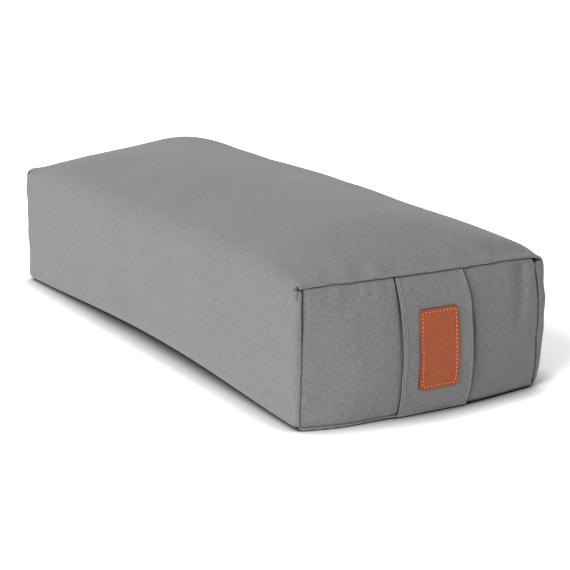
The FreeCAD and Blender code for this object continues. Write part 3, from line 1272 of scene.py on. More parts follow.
@dataclass(frozen=True)
class EndPanel:
    """An end panel, sewn in behind the rim."""

    shell: SewnShell
    side: Side
    columns: int = 151
    rows: int = 91
    crowding: float = 2.0
    corner_clear: float = 0.013
    side_under: float = 0.0024
    top_under: float = 0.0005
    side_dip: float = 0.001
    side_dip_reach: float = 0.0014
    end_dip: float = 0.0016
    end_dip_reach: float = 0.0018
    rim_rise: float = 0.0014
    rim_reach: float = 0.012
    puff: float = 0.0035
    puff_reach: float = 0.025
    lump_waves: Span = (0.05, 0.12)
    lump_edge: Span = (0.0, 0.03)
    pucker_edge: Span = (0.0, 0.006)
    pucker_stretch: float = 0.25
    top_waves: Span = (0.014, 0.04)
    top_reach: float = 0.02
    side_waves: Span = (0.016, 0.05)
    side_reach: float = 0.012
    fold: float = 0.006
    fold_across: float = 0.69
    fold_lean: float = 0.09
    fold_width: float = 0.009
    fold_upright: Span = (0.05, 0.125)
    fold_top: Span = (-0.001, 0.010)
    # widths and strength of the painted shade along the panel's seams
    seam_width: float = 0.0008
    side_seam: float = 0.0012
    side_seam_upright: Span = (0.075, 0.105)
    top_seam: float = 0.0006
    base_seam_width: float = 0.0005
    base_seam_shade: float = 0.5

    @property
    def strap(self) -> StrapPlace | None:
        """The strap, on the end that has it."""
        return self.shell.strap if self.side is Side.POSITIVE else None

    def outline(self) -> tuple[Array, ...]:
        """The seam's four parts, clear of its corners.

        Returns:
            The top and the base in order of Y, and the -Y and the +Y side in order of Z.
        """
        form = self.shell.form
        seam = self.shell.seams[self.side]
        upright = seam[:, 2] - form.floor - form.end_height / 2.0
        across = seam[:, 1] - form.middle_y
        level = np.abs(across) < form.half_width - self.corner_clear
        plumb = np.abs(upright) < form.end_height / 2.0 - self.corner_clear
        picks = ((level & (upright > 0.0), 1), (level & (upright < 0.0), 1),
                 (plumb & (across < 0.0), 2), (plumb & (across > 0.0), 2))
        return tuple(seam[pick][np.argsort(seam[pick, axis])] for pick, axis in picks)

    def grid(self) -> PanelGrid:
        """Lays out the panel, reaching a little under the rim.

        Returns:
            The grid.
        """
        form = self.shell.form
        upper, lower, left, right = self.outline()
        spread, rise = (crowded(count, self.crowding) * 0.5 + 0.5 for count in (self.columns, self.rows))
        if self.strap:
            spread = self.strap.columns(spread, form.half_width)
        rise = rise[:, None]
        level = mix(form.floor, form.floor + form.end_height, rise)
        start = np.interp(level, left[:, 2], left[:, 1])
        stop = np.interp(level, right[:, 2], right[:, 1])
        y = mix(start - self.side_under, stop + self.side_under, spread[None, :])
        high = np.interp(y, upper[:, 1], upper[:, 2])
        low = np.interp(y, lower[:, 1], lower[:, 2])
        bottom = np.maximum(low - self.top_under, form.floor + self.shell.floor_clear)
        z = mix(bottom, high + self.top_under, rise)
        return PanelGrid(y, z, np.minimum(y - start, stop - y), high - z, z - low)

    def height(self, grid: PanelGrid) -> Array:
        """Place up the panel, from -1 at the base to 1 at the top."""
        form = self.shell.form
        return (grid.z - form.floor) * 2.0 / form.end_height - 1.0

    def reach(self, grid: PanelGrid) -> Array:
        """Distance of the panel's surface from the middle.

        Args:
            grid: places on the panel.

        Returns:
            The distance in X at each place.
        """
        shell, form = self.shell, self.shell.form
        y, z, edge = grid.y, grid.z, grid.edge
        dip = np.maximum(self.side_dip * np.exp(-grid.from_side / self.side_dip_reach),
                         self.end_dip * np.exp(-grid.from_ends / self.end_dip_reach))
        x = form.end_x(y, z, self.side) - dip + self.rim_rise * (1.0 - fading(edge, self.rim_reach))
        full = 1.0 - ((y - form.middle_y) / form.half_width) ** 2
        x = x + self.puff * full * (1.0 - fading(edge, self.puff_reach))
        if self.strap:
            aside = self.strap.aside(y, self.height(grid))
            x = x - self.strap.pressed(aside, grid.from_top, grid.from_base)
        kinds = ((Seed.PANEL_LUMPS, self.lump_waves), (Seed.PANEL_TOP, self.top_waves),
                 (Seed.PANEL_SIDES, self.side_waves))
        lumps, top, sides = (Ripples(seed + self.side.value, *waves) for seed, waves in kinds)
        x = x + lumps.at(y, z) * shell.lump * smooth_step(*self.lump_edge, edge)
        free = shell.pucker * smooth_step(*self.pucker_edge, edge)
        x = x + top.at(y, self.pucker_stretch * z) * free * fading(np.abs(grid.from_top), self.top_reach)
        x = x + sides.at(self.pucker_stretch * y, z) * free * fading(np.abs(grid.from_side), self.side_reach)
        if form.droop and self.side is Side.POSITIVE:
            line = form.middle_y + self.fold_across * form.half_width
            fold = bell(y - self.fold_lean * z, line, self.fold_width) * smooth_step(*self.fold_upright, z)
            x = x - self.fold * fold * smooth_step(*self.fold_top, grid.from_top)
        return x

    def darkness(self, grid: PanelGrid) -> Array:
        """How much painted shade the panel has along its seams and beside the strap.

        Args:
            grid: places on the panel.

        Returns:
            The darkness at each place, from 0 to 1.
        """
        deep = np.where(grid.y > self.shell.form.middle_y, 1.0, smooth_step(*self.side_seam_upright, grid.z))
        # painted shade along the side, base and top seams
        shades = [fading(grid.from_side - self.side_seam * deep, self.seam_width),
                  self.base_seam_shade * fading(grid.from_base, self.base_seam_width),
                  fading(grid.from_top - self.top_seam, self.seam_width)]
        # painted shadow of the strap, beside its +Y edge
        if self.strap:
            height = self.height(grid)
            shades.append(self.strap.painted_shade(self.strap.aside(grid.y, height), height))
        return np.maximum.reduce(shades)

    def make(self) -> bpy.types.Object:
        """Makes the panel.

        Returns:
            The panel.
        """
        grid = self.grid()
        points = np.stack([self.reach(grid), grid.y, grid.z], axis=2)
        uvs = np.stack([grid.y, grid.z], axis=2).reshape(-1, 2)
        faces = grid_faces(*points.shape[:2], False)
        if self.side is Side.POSITIVE:
            self.shell.form.settle(points)
        else:
            points[:, :, 0] *= -1.0
            faces = [face[::-1] for face in faces]
        name = f"{self.shell.name}_{self.side.end}_panel"
        return add_mesh(name, points.reshape(-1, 3), faces, uvs, self.darkness(grid).reshape(-1))


def thicken(thing: bpy.types.Object, thickness: float) -> None:
    """Gives a cloth its thickness, inwards.

    Args:
        thing: the cloth.
        thickness: how thick it is.
    """
    solid = thing.modifiers.new("thickness", "SOLIDIFY")
    solid.thickness = thickness
    solid.offset = -1.0


# Stitching

@dataclass(frozen=True)
class Stitch:
    """One size of stitch."""

    pitch: float
    length: float
    radius: float
    sink: float = 0.35
    around: int = 8
    along: int = 7
    taper: float = 3.0
    tip: float = 0.12

    def row(self, name: str, path: Array, normals: Array, closed: bool) -> bpy.types.Object:
        """Sews a row.

        Args:
            name: the row's name.
            path: points along the row, closely spaced.
            normals: unit normals of the cloth at those points.
            closed: whether the row ends where it begins.

        Returns:
            The stitches, as one object.
        """
        if closed:
            path = np.concatenate([path, path[:1]])
            normals = np.concatenate([normals, normals[:1]])
        gone = run_length(path)
        count = max(int(gone[-1] / self.pitch), 1)
        pitch = gone[-1] / count
        share = np.linspace(-1.0, 1.0, self.along)
        swell = np.maximum(np.sqrt(np.maximum(1.0 - np.abs(share) ** self.taper, 0.0)), self.tip)
        turn = np.linspace(0.0, 2.0 * math.pi, self.around, endpoint=False)
        points, uvs, faces = [], [], []
        for index in range(count):
            spots = (index + 0.5) * pitch + share * self.length / 2.0
            centre = np.stack([np.interp(spots, gone, path[:, axis]) for axis in range(3)], axis=1)
            up = np.array([np.interp(spots[len(spots) // 2], gone, normals[:, axis]) for axis in range(3)])
            up /= np.linalg.norm(up)
            run = centre[-1] - centre[0]
            across = np.cross(run, up)
            across /= np.linalg.norm(across)
            arch = (1.0 - share ** 2) - self.sink
            centre = centre + up[None, :] * (arch * self.radius)[:, None]
            offset = np.cos(turn)[None, :, None] * across + np.sin(turn)[None, :, None] * up
            ring = centre[:, None, :] + offset * (self.radius * swell)[:, None, None]
            start = index * self.along * self.around
            faces += grid_faces(self.along, self.around, True, start)
            faces.append(tuple(start + np.arange(self.around)[::-1]))
            faces.append(tuple(start + (self.along - 1) * self.around + np.arange(self.around)))
            points.append(ring.reshape(-1, 3))
            place = np.broadcast_arrays((share * self.length / 2.0)[:, None], turn[None, :])
            uvs.append(np.stack(place, axis=2).reshape(-1, 2))
        faces = [tuple(int(corner) for corner in face) for face in faces]
        return add_mesh(name, np.concatenate(points), faces, np.concatenate(uvs))


# Carrying strap

@dataclass(frozen=True)
class StrapForm:
    """The strap's bow in front of the end panel."""

    low_y: float
    high_y: float
    seam_x: float
    front: float
    low_z: float
    high_z: float
    slant: float
    power: float = 2.6
    thickness: float = 0.0024
    overrun: float = 1.01
    steps: int = 801

    @property
    def middle_y(self) -> float:
        """Place of the strap's middle across."""
        return (self.high_y + self.low_y) / 2.0

    @property
    def half_y(self) -> float:
        """Half of the strap's width."""
        return (self.high_y - self.low_y) / 2.0

    @property
    def middle_z(self) -> float:
        """Height of the strap's middle."""
        return (self.low_z + self.high_z) / 2.0

    @property
    def half_z(self) -> float:
        """Half of the strap's height."""
        return (self.high_z - self.low_z) / 2.0

    @cached_property
    def line(self) -> Array:
        """The strap's front line: way along from its middle, X, Z, and the outward X and Z."""
        share = np.linspace(-self.overrun, self.overrun, self.steps)
        x = self.seam_x + (self.front - self.seam_x) * (1.0 - np.abs(share) ** self.power)
        z = self.middle_z + self.half_z * share
        run_x, run_z = np.gradient(x), np.gradient(z)
        size = np.hypot(run_x, run_z)
        gone = run_length(np.stack([x, z], axis=1))
        return np.stack([gone - gone[len(gone) // 2], x, z, run_z / size, -run_x / size])

    @property
    def reach(self) -> float:
        """Way along the strap from its middle to an end."""
        return float(self.line[0, -1])

    def at_height(self, z: float) -> float:
        """Way along the strap from its middle to a height."""
        return float(np.interp(z, self.line[2], self.line[0]))

    def spot(self, along: Array, y: Array, lift: Array) -> Array:
        """A point on or over the strap.

        Args:
            along: way along the strap from its middle, upwards.
            y: place across.
            lift: height over the strap's front face.

        Returns:
            The point's xyz.
        """
        gone, line_x, line_z, out_x, out_z = self.line
        height = np.interp(along, gone, line_z)
        x = np.interp(along, gone, line_x) + lift * np.interp(along, gone, out_x)
        z = height + lift * np.interp(along, gone, out_z)
        lean = -self.slant * (height - self.middle_z) / self.half_z
        return np.stack(np.broadcast_arrays(x, y + lean, z), axis=-1)

    def out(self, along: Array) -> Array:
        """Outward direction of the strap's face.

        Args:
            along: way along the strap from its middle, upwards.

        Returns:
            Unit vectors.
        """
        gone, _, _, out_x, out_z = self.line
        across = np.zeros_like(along)
        return np.stack([np.interp(along, gone, out_x), across, np.interp(along, gone, out_z)], axis=-1)


@dataclass(frozen=True)
class CarryingStrap:
    """The strap and its edge stitching."""

    form: StrapForm
    pinch: float
    rows: int = 101
    columns: int = 65
    crowding: float = 1.9
    rim_steps: int = 8
    hem: float = 0.0045
    hem_soft: float = 0.0006
    hem_rise: float = 0.0003
    hem_thin: float = 0.0015
    back_power: float = 8.0
    stitch_inset: float = 0.0024
    stitch_groove: float = 0.0003
    stitch_width: float = 0.0006
    stitch_sink: float = 0.0001
    stitch_reach: float = 0.97
    stitch_steps: int = 240
    curl: float = 0.0002
    curl_power: float = 5.0
    ripple: float = 0.0003
    ripple_waves: Span = (0.03, 0.09)
    ripple_stretch: float = 0.6
    ripple_across: Span = (-0.2, 0.3)
    sway: float = 0.0003
    sway_waves: Span = (0.05, 0.12)
    # painted shade where the strap runs into the top seam
    seam_shade: float = 0.9
    seam_drop: float = 0.0008
    seam_width: float = 0.0005

    def make(self) -> bpy.types.Object:
        """Makes the strap.

        Returns:
            The strap.
        """
        form = self.form
        half = form.half_y
        edge = (form.thickness - self.hem_thin) / 2.0
        across = crowded(self.columns, self.crowding)
        face = across * (half - edge)
        turn = np.linspace(math.pi / 2.0, -math.pi / 2.0, self.rim_steps)[1:-1]
        rim = half - edge + edge * np.cos(turn)
        offset = np.concatenate([face, rim, face[::-1], -rim])
        back = self.hem_thin * np.abs(across) ** self.back_power - form.thickness
        arch = edge * np.sin(turn)
        lift = np.concatenate([np.zeros_like(face), arch - edge, back, -arch - edge])
        front = np.zeros_like(offset)
        front[:self.columns] = 1.0
        inset = half - np.abs(offset)
        hem = self.hem_rise * smooth_step(self.hem + self.hem_soft, self.hem, inset)
        groove = self.stitch_groove * bell(inset, self.stitch_inset, self.stitch_width)
        along = np.linspace(-form.reach, form.reach, self.rows)[:, None]
        ripples = Ripples(Seed.STRAP_FACE, *self.ripple_waves)
        wave = ripples.at(along, self.ripple_stretch * offset[None, :]) * self.ripple
        wave = wave * smooth_step(*self.ripple_across, np.abs(offset) / half)
        sway = Ripples(Seed.STRAP_EDGES, *self.sway_waves).at(along, 0.0) * self.sway
        y = form.middle_y + self.drawn_in(along, offset[None, :]) + sway * np.sign(offset)[None, :]
        points = form.spot(along, y, (lift + (hem - groove) * front + self.curled(offset))[None, :] + wave)
        rows, columns = points.shape[:2]
        uvs = np.stack(np.broadcast_arrays(offset[None, :], along), axis=2).reshape(-1, 2)
        faces = [face[::-1] for face in grid_faces(rows, columns, True)]
        faces.append(tuple(range(columns)))
        faces.append(tuple((rows - 1) * columns + column for column in reversed(range(columns))))
        # painted shade near the top seam
        top = np.broadcast_to(np.interp(along, form.line[0], form.line[2]), points.shape[:2])
        dark = self.seam_shade * fading(form.high_z - self.seam_drop - top, self.seam_width)
        return add_mesh("handle_strap_cloth", points.reshape(-1, 3), faces, uvs, dark.reshape(-1))

    def curled(self, offset: Array) -> Array:
        """Height that the strap's curl gives to a place across."""
        return -self.curl * (np.abs(offset) / self.form.half_y) ** self.curl_power

    def drawn_in(self, along: Array, offset: Array) -> Array:
        """Place across after the strap's +Y edge is drawn in towards the top seam."""
        rise = np.maximum(along, 0.0) / self.form.reach
        return offset - self.pinch * rise ** 2 * np.maximum(offset, 0.0) / self.form.half_y

    def edge_stitches(self, side: Side, stitch: Stitch) -> bpy.types.Object:
        """Sews one edge of the strap.

        Args:
            side: which edge.
            stitch: the stitch.

        Returns:
            The row.
        """
        form = self.form
        reach = self.stitch_reach * form.reach
        along = np.linspace(-reach, reach, self.stitch_steps)
        offset = np.full_like(along, side.value * (form.half_y - self.stitch_inset))
        y = form.middle_y + self.drawn_in(along, offset)
        path = form.spot(along, y, self.curled(offset) - self.stitch_sink)
        return stitch.row(f"handle_{side.edge}_stitches", path, form.out(along), False)


@dataclass(frozen=True)
class LeatherPatch:
    """The leather patch on the strap, and its line of stitching."""

    form: StrapForm
    low: Vector
    high: Vector
    rows: int = 131
    columns: int = 81
    row_crowding: float = 2.2
    column_crowding: float = 2.0
    thickness: float = 0.0018
    sink: float = 0.0003
    corner: float = 0.005
    bevel: float = 0.0009
    bevel_width: float = 0.0016
    groove: float = 0.0004
    groove_width: float = 0.0008
    swell: float = 0.0003
    swell_inset: float = 0.42
    swell_width: float = 0.0012
    wear: float = 0.00012
    wear_waves: Span = (0.015, 0.04)
    # widths of the darker cut edge, burnish and painted shade together, and of the painted shade in the
    # stitch groove
    edge_burnish_and_shade_width: float = 0.0009
    groove_shade: float = 0.35
    groove_shade_width: float = 0.0006
    stitch_inset: float = 0.0039
    stitch_corner: float = 0.0025
    stitch_sink: float = 0.0002
    arc_steps: int = 9
    path_steps: int = 600

    def frame(self) -> tuple[float, float, float, float]:
        """Where the patch lies on the strap.

        Returns:
            Its middle across, its middle along the strap, half its width and half its height.
        """
        low, high = self.low, self.high
        ends = [self.form.at_height(corner.z) for corner in (low, high)]
        return (low.y + high.y) / 2.0, sum(ends) / 2.0, (high.y - low.y) / 2.0, (ends[1] - ends[0]) / 2.0

    def make(self) -> bpy.types.Object:
        """Makes the leather patch.

        Returns:
            The patch.
        """
        middle, lay, half_wide, half_tall = self.frame()
        radius = self.corner
        rows = crowded(self.rows, self.row_crowding) * half_tall
        columns = crowded(self.columns, self.column_crowding)
        past = np.maximum(np.abs(rows) - (half_tall - radius), 0.0)
        wide = half_wide - radius + np.sqrt(np.maximum(radius ** 2 - past ** 2, 0.0))
        across = wide[:, None] * columns[None, :]
        upright = np.broadcast_to(rows[:, None], across.shape)
        inner_y = np.abs(across) - (half_wide - radius)
        inner_z = np.abs(upright) - (half_tall - radius)
        corner = np.hypot(np.maximum(inner_y, 0.0), np.maximum(inner_z, 0.0))
        inset = radius - corner - np.minimum(np.maximum(inner_y, inner_z), 0.0)
        sewn = self.stitch_inset
        bevel = self.bevel * np.maximum(1.0 - inset / self.bevel_width, 0.0) ** 2
        groove = self.groove * bell(inset, sewn, self.groove_width)
        swell = self.swell * bell(inset, sewn * self.swell_inset, self.swell_width)
        wear = Ripples(Seed.LEATHER, *self.wear_waves).at(across, upright) * self.wear
        lift = self.thickness - bevel - groove + swell + wear
        sheets = [self.form.spot(lay + upright, middle + across, height).reshape(-1, 3)
                  for height in (lift, np.full_like(lift, -self.sink))]
        count = across.size
        faces = [face[::-1] for face in grid_faces(*across.shape, False)]
        faces += grid_faces(*across.shape, False, count)
        rim = self.border(*across.shape)
        faces += [(rim[i - 1], rim[i], rim[i] + count, rim[i - 1] + count) for i in range(len(rim))]
        uvs = np.stack([across, upright], axis=2).reshape(-1, 2)
        # darker cut edge, partly burnish and partly painted shade, and painted shade in the stitch groove
        dark = np.maximum(bell(np.maximum(inset, 0.0), 0.0, self.edge_burnish_and_shade_width),
                          self.groove_shade * bell(inset, sewn, self.groove_shade_width))
        # the underside sheet is all painted shade
        darkness = np.concatenate([dark.reshape(-1), np.ones(count)])
        return add_mesh("handle_leather_patch", np.concatenate(sheets), faces, np.tile(uvs, (2, 1)), darkness)

    @staticmethod
    def border(rows: int, columns: int) -> list[int]:
        """Vertex numbers round a grid's edge.

        Args:
            rows: number of rows.
            columns: number of columns.

        Returns:
            The numbers, in order.
        """
        last = (rows - 1) * columns
        right = [row * columns + columns - 1 for row in range(1, rows)]
        top = [last + column for column in range(columns - 2, -1, -1)]
        left = [row * columns for row in range(rows - 2, 0, -1)]
        return list(range(columns)) + right + top + left

    def stitches(self, stitch: Stitch) -> bpy.types.Object:
        """Sews the patch on.

        Args:
            stitch: the stitch.

        Returns:
            The ring of stitches.
        """
        middle, lay, half_wide, half_tall = self.frame()
        radius = self.stitch_corner
        wide, tall = (half - self.stitch_inset - radius for half in (half_wide, half_tall))
        spots = []
        for turn, (sign_y, sign_z) in enumerate(((1, 1), (-1, 1), (-1, -1), (1, -1))):
            arc = np.linspace(turn, turn + 1, self.arc_steps) * math.pi / 2.0
            spots.append(np.stack([sign_y * wide + radius * np.cos(arc),
                                   sign_z * tall + radius * np.sin(arc)], axis=1))
        ring = np.concatenate(spots + [spots[0][:1]])
        gone = run_length(ring)
        places = np.linspace(0.0, gone[-1], self.path_steps, endpoint=False)
        across, along = (np.interp(places, gone, ring[:, axis]) for axis in range(2))
        lift = np.full_like(across, self.thickness - self.stitch_sink)
        path = self.form.spot(lay + along, middle + across, lift)
        return stitch.row("handle_patch_stitches", path, self.form.out(lay + along), True)


# Studio

@dataclass(frozen=True)
class SoftLight:
    """A large soft light, far off."""

    name: str
    place: tuple[float, float, float]
    strength: float
    angle: float = 40.0

    def hang(self) -> None:
        """Makes the light, shining from its place towards the object."""
        lamp = bpy.data.lights.new(self.name, "SUN")
        lamp.energy = self.strength
        lamp.angle = math.radians(self.angle)
        light = bpy.data.objects.new(self.name, lamp)
        light.rotation_euler = Vector(self.place).to_track_quat("Z", "Y").to_euler()
        bpy.context.scene.collection.objects.link(light)


@dataclass(frozen=True)
class Studio:
    """Floor, light and camera."""

    azimuth: float = 60.035
    elevation: float = 14.436
    roll: float = 0.228
    place: tuple[float, float, float] = (1.7022, -0.9408, 0.5524)
    focal_pixels: float = 1686.6
    picture_pixels: float = 570.0
    sensor: float = 36.0
    floor_reach: float = 30.0
    floor_grain: float = 60.0
    floor_tone: Colour = (0.97, 0.97, 0.97)
    sky: float = 0.45
    backdrop: float = 1.0
    lights: tuple[SoftLight, ...] = (
        SoftLight("key_light", (0.29, -0.85, 0.43), 3.3),
        SoftLight("fill_light", (0.85, -0.25, 0.45), 0.12),
    )
    # reach and depth of the painted contact shadow on the floor
    shadow_reach: float = 0.05
    shadow_depth: float = 1.6

    def camera(self) -> None:
        """Makes the camera, at the photograph's place."""
        side, up = math.radians(self.azimuth), math.radians(self.elevation)
        turn = math.radians(self.roll)
        back = Vector((math.sin(side) * math.cos(up), -math.cos(side) * math.cos(up), math.sin(up)))
        level = Vector((math.cos(side), math.sin(side), 0.0))
        upright = back.cross(level)
        right = level * math.cos(turn) + upright * math.sin(turn)
        top = upright * math.cos(turn) - level * math.sin(turn)
        place = Vector(self.place)
        lens = bpy.data.cameras.new("photo_camera")
        lens.sensor_fit = "HORIZONTAL"
        lens.sensor_width = self.sensor
        lens.lens = self.focal_pixels * self.sensor / self.picture_pixels
        camera = bpy.data.objects.new("photo_camera", lens)
        camera.matrix_world = Matrix((
            (right.x, top.x, back.x, place.x),
            (right.y, top.y, back.y, place.y),
            (right.z, top.z, back.z, place.z),
            (0.0, 0.0, 0.0, 1.0),
        ))
        bpy.context.scene.collection.objects.link(camera)
        bpy.context.scene.camera = camera

    @staticmethod
    def seen_directly(tree: bpy.types.NodeTree) -> Socket:
        """Whether a ray comes from the camera, a reflection or a clear piece.

        Args:
            tree: the node tree to add it to.

        Returns:
            1 for such a ray, and 0 for others.
        """
        path = tree.nodes.new("ShaderNodeLightPath")
        total = path.outputs["Is Camera Ray"]
        for name in ("Is Glossy Ray", "Is Transmission Ray"):
            node = tree.nodes.new("ShaderNodeMath")
            node.operation = "MAXIMUM"
            tree.links.new(total, node.inputs[0])
            tree.links.new(path.outputs[name], node.inputs[1])
            total = node.outputs["Value"]
        return total

    def world(self) -> None:
        """Makes the sky: white where it is seen, and soft as a light."""
        world = bpy.data.worlds.new("studio")
        world.use_nodes = True
        tree = world.node_tree
        tree.nodes.clear()
        seen = self.seen_directly(tree)
        choice = tree.nodes.new("ShaderNodeMixShader")
        output = tree.nodes.new("ShaderNodeOutputWorld")
        tree.links.new(seen, choice.inputs[0])
        for number, strength in ((1, self.sky), (2, self.backdrop)):
            light = tree.nodes.new("ShaderNodeBackground")
            light.inputs["Color"].default_value = WHITE
            light.inputs["Strength"].default_value = strength
            tree.links.new(light.outputs[0], choice.inputs[number])
        tree.links.new(choice.outputs[0], output.inputs["Surface"])
        bpy.context.scene.world = world

    def floor(self) -> None:
        """Makes the floor, white to the camera, with a painted shadow under the object on top of the lamps'
        shadows.
        """
        reach = self.floor_reach
        mesh = bpy.data.meshes.new("studio_floor")
        corners = [(x * reach, y * reach, 0.0) for x, y in ((-1, -1), (1, -1), (1, 1), (-1, 1))]
        mesh.from_pydata(corners, [], [(0, 1, 2, 3)])
        floor = bpy.data.objects.new("studio_floor", mesh)
        bpy.context.scene.collection.objects.link(floor)
        shader = Shader("studio_paper")
        grain = shader.noise(shader.place(), self.floor_grain)
        tone = shader.blend(grain, toned(self.floor_tone, 1.0), WHITE)
        shader.fill(shader.surface, Base_Color=tone, Roughness=1.0, Specular_IOR_Level=0.0)
        # painted shadow: an ambient-occlusion node darkens the floor's colour near the object
        near = shader.add("ShaderNodeAmbientOcclusion", Distance=self.shadow_reach)
        open_share = shader.math("POWER", near.outputs["AO"], self.shadow_depth)
        shadowed = shader.blend(open_share, BLACK, tone)
        seen = shader.add("ShaderNodeBsdfDiffuse", Color=shadowed)
        bright = shader.add("ShaderNodeAddShader")
        for number in range(2):
            shader.join(seen.outputs["BSDF"], bright.inputs[number])
        choice = shader.add("ShaderNodeMixShader")
        ways = (self.seen_directly(shader.tree), shader.surface.outputs["BSDF"], bright.outputs[0])
        for number, way in enumerate(ways):
            shader.join(way, choice.inputs[number])
        shader.join(choice.outputs[0], shader.output.inputs["Surface"])
        mesh.materials.append(shader.material)

    def set_up(self) -> None:
        """Makes everything that stands round the object."""
        self.camera()
        self.world()
        self.floor()
        for light in self.lights:
            light.hang()
        bpy.context.scene.view_settings.view_transform = "Standard"


# Assembly

@dataclass(frozen=True)
class CoverDetails:
    """What the cover's form has and the bag's lacks: its seam lines, settled corners and swellings."""

    end_crown: float = 0.006
    droop: float = 0.004
    base_tuck: float = 0.0026
    flare: float = 0.0028
    low_side_seam: SeamLine = ((0.0, 0.0042), (0.05, 0.0060), (0.147, 0.0062))
    high_side_seam: SeamLine = (
        (0.0, 0.0050), (0.0115, 0.0066), (0.05, 0.0116), (0.062, 0.0116),
        (0.072, 0.0102), (0.104, 0.0105), (0.147, 0.0150),
    )
    top_swellings: tuple[Swelling, ...] = (
        Swelling(-0.298, 0.064, 0.09, 0.07, 0.0096),
        Swelling(-0.2705, -0.0046, 0.10, 0.07, -0.0077),
        Swelling(0.228, 0.128, 0.12, 0.08, -0.0025),
        Swelling(0.3455, 0.105, 0.08, 0.07, 0.0057),
        Swelling(-0.177, 0.1185, 0.10, 0.06, -0.0033),
    )
    end_swellings: tuple[Swelling, ...] = (
        Swelling(-0.105, 0.0, 0.032, 0.03, 0.0041),
        Swelling(0.125, 0.0, 0.045, 0.04, -0.003),
    )


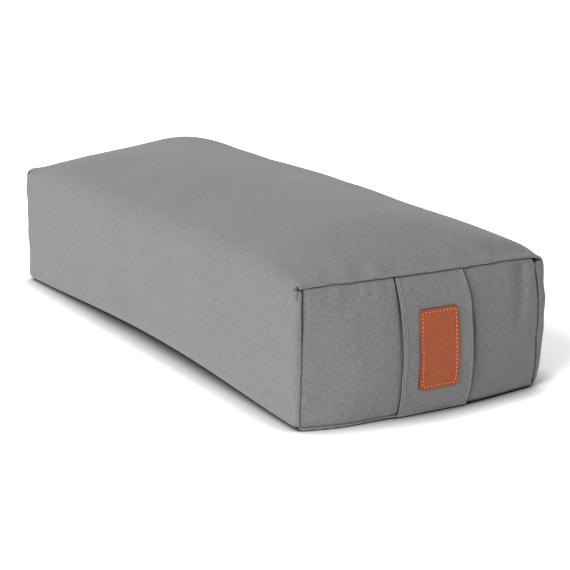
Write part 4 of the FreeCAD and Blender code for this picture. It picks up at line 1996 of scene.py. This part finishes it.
@dataclass
class Bolster:
    """The whole object."""

    frame: dict
    finishes: Finishes
    cover_cloth: float = 0.001
    bag_cloth: float = 0.0006
    slot_margin: float = 0.0027
    strap_rest: float = 0.003
    strap_sink: float = 0.0004
    seam_rest: float = 0.0003
    end_reach: float = 0.0195
    cover_details: CoverDetails = CoverDetails()
    husk_room: float = 0.003
    husk_levels: Span = (0.05, 0.06)
    zip_row_steps: int = 200
    edge_stitch: Stitch = Stitch(pitch=0.0034, length=0.0026, radius=0.00032)
    patch_stitch: Stitch = Stitch(pitch=0.0043, length=0.0030, radius=0.0005)

    def zip_slot(self, zip_name: str) -> tuple[float, float, float]:
        """Where a zip's slot lies.

        Args:
            zip_name: the start of the zip's node names.

        Returns:
            The slot's lower edge, upper edge and half length.
        """
        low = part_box(zip_name + "_teeth_lower")[0]
        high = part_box(zip_name + "_teeth_upper")[1]
        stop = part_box(zip_name + "_stop_front")[1]
        return low[2] - self.slot_margin, high[2] + self.slot_margin, stop[0] + self.slot_margin / 2.0

    def cushion_form(self, name: str, zip_name: str, **details: float | tuple) -> CushionForm:
        """The form of the cover or the bag, from the frame.

        Args:
            name: the start of its node names.
            zip_name: the start of its zip's node names.
            **details: other sizes of the form.

        Returns:
            The form.
        """
        low, high = corners_of(name + "_wrap")
        tip = corners_of(name + "_end_front")[1]
        zip_low, zip_high, _ = self.zip_slot(zip_name)
        return CushionForm(
            half_width=(high.y - low.y) / 2.0,
            half_length=tip.x - self.end_reach,
            end_height=tip.z - low.z + self.seam_rest,
            zip_low=zip_low,
            zip_high=zip_high,
            middle_y=(high.y + low.y) / 2.0,
            floor=low.z,
            **details,
        )

    def sewn(self, shell: SewnShell, cloth: float, material: bpy.types.Material, slot: str) -> None:
        """Makes the cover or the bag.

        Args:
            shell: its form and sewing.
            cloth: the cloth's thickness.
            material: the cloth's finish.
            slot: a material name from the record; not used.
        """
        wrap = shell.wrap()
        dress(wrap, material, shell.name + "_wrap")
        thicken(wrap, cloth)
        for side in reversed(Side):
            panel = EndPanel(shell, side).make()
            dress(panel, material, f"{shell.name}_end_{side.end}")
            thicken(panel, cloth)

    def handle(self, cover: SewnShell) -> None:
        """Makes the strap and the patch.

        Args:
            cover: the cover that the strap is sewn to.
        """
        low, high = corners_of("handle_strap")
        seam = cover.seams[Side.POSITIVE]
        behind = seam[np.abs(seam[:, 1]) < cover.strap.half]
        over = behind[:, 2] > cover.form.end_height / 2.0
        upper, lower = (behind[part].mean(axis=0) for part in (over, ~over))
        form = StrapForm(low.y, high.y, float(upper[0]) - self.strap_sink, high.x - self.strap_rest,
                         float(lower[2]), float(upper[2]), cover.strap.slant)
        strap = CarryingStrap(form, cover.strap.pinch)
        patch = LeatherPatch(form, *corners_of("handle_patch"))
        kit = self.finishes
        dress(strap.make(), kit.cover, "handle_strap")
        for side in Side:
            row = strap.edge_stitches(side, self.edge_stitch)
            dress(row, kit.thread, f"handle_stitching_{side.edge}")
        dress(patch.make(), kit.leather, "handle_patch")
        stitches = patch.stitches(self.patch_stitch)
        dress(stitches, kit.leather_thread, "handle_patch_stitching")

    def zip_rows(self, zip_name: str, thread: bpy.types.Material) -> None:
        """Sews the two rows beside a zip.

        Args:
            zip_name: the start of the zip's node names.
            thread: the thread's finish.
        """
        for label in ("upper", "lower"):
            node = f"{zip_name}_stitching_{label}"
            low, high = corners_of(node)
            x = np.linspace(low.x, high.x, self.zip_row_steps)
            path = np.stack([x, np.full_like(x, low.y), np.full_like(x, (low.z + high.z) / 2.0)], axis=1)
            out = np.broadcast_to(np.array([0.0, 1.0, 0.0]), path.shape)
            row = self.edge_stitch.row(f"{zip_name}_{label}_stitches", path, out, False)
            dress(row, thread, node)

    def finish_zip(self, zip_name: str) -> None:
        """Gives a zip's solids their finishes.

        Args:
            zip_name: the start of the zip's node names.
        """
        kit = self.finishes
        finish_of = {"_tape_upper": kit.tape, "_tape_lower": kit.tape, "_teeth_upper": kit.teeth,
                     "_teeth_lower": kit.teeth, "_stop_front": kit.teeth, "_stop_rear": kit.teeth,
                     "_slider": kit.metal, "_pull": kit.metal}
        for ending, material in finish_of.items():
            node = self.frame["nodes"][zip_name + ending]
            node.data.materials.clear()
            node.data.materials.append(material)
            LOG.info("%s keeps its solid", node.name)

    def filling(self) -> None:
        """Makes the husk filling."""
        low, high = corners_of("husk_filling")
        room = self.husk_room
        zip_low, zip_high = (low.z + level for level in self.husk_levels)
        form = CushionForm(
            half_width=(high.y - low.y) / 2.0 - room,
            half_length=high.x - CushionForm.end_bulge - CushionForm.end_dome - room,
            end_height=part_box("bag_end_front")[1][2] - low.z - 2.0 * room,
            zip_low=zip_low,
            zip_high=zip_high,
            middle_y=(high.y + low.y) / 2.0,
            floor=low.z,
        )
        shell = SewnShell(form, "husk", 0.0, fine=12, near_step=0.006, far_step=0.012, roll_steps=4,
                          lump=0.0008, pucker=0.0, wander=0.0, notch=0.0, lip_depth=0.001)
        points, gap, dark = shell.surface()
        shell.shape_cloth(points, gap, dark)
        rows, columns = points.shape[:2]
        faces = grid_faces(rows, columns, True)
        faces.append(tuple(range(columns))[::-1])
        faces.append(tuple((rows - 1) * columns + column for column in range(columns)))
        places = points.reshape(-1, 3)
        heap = add_mesh("husk_heap", places, faces, places[:, :2])
        dress(heap, self.finishes.husk, "husk_filling")

    def build(self) -> None:
        """Makes every piece."""
        kit = self.finishes
        form = self.cushion_form("cover", "cover_zip", **vars(self.cover_details))
        low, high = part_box("handle_strap")
        strap = StrapPlace((high[1] - low[1]) / 2.0)
        cover = SewnShell(form, "cover", self.zip_slot("cover_zip")[2], strap)
        self.sewn(cover, self.cover_cloth, kit.cover, "grey_cotton")
        form = self.cushion_form("bag", "bag_zip")
        bag = SewnShell(form, "bag", self.zip_slot("bag_zip")[2], fine=14, near_step=0.004, far_step=0.01,
                        roll_steps=5, lump=0.0003, pucker=0.0003, wander=0.0003, notch=0.0)
        self.sewn(bag, self.bag_cloth, kit.bag, "natural_cotton")
        self.handle(cover)
        self.zip_rows("cover_zip", kit.thread)
        self.zip_rows("bag_zip", kit.bag_thread)
        for zip_name in ("cover_zip", "bag_zip"):
            self.finish_zip(zip_name)
        self.filling()


def main() -> None:
    """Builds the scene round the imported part."""
    logging.basicConfig(level=logging.INFO, format="%(message)s")
    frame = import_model()
    Studio().set_up()
    Bolster(frame, Finishes.make()).build()


if __name__ == "__main__":
    main()
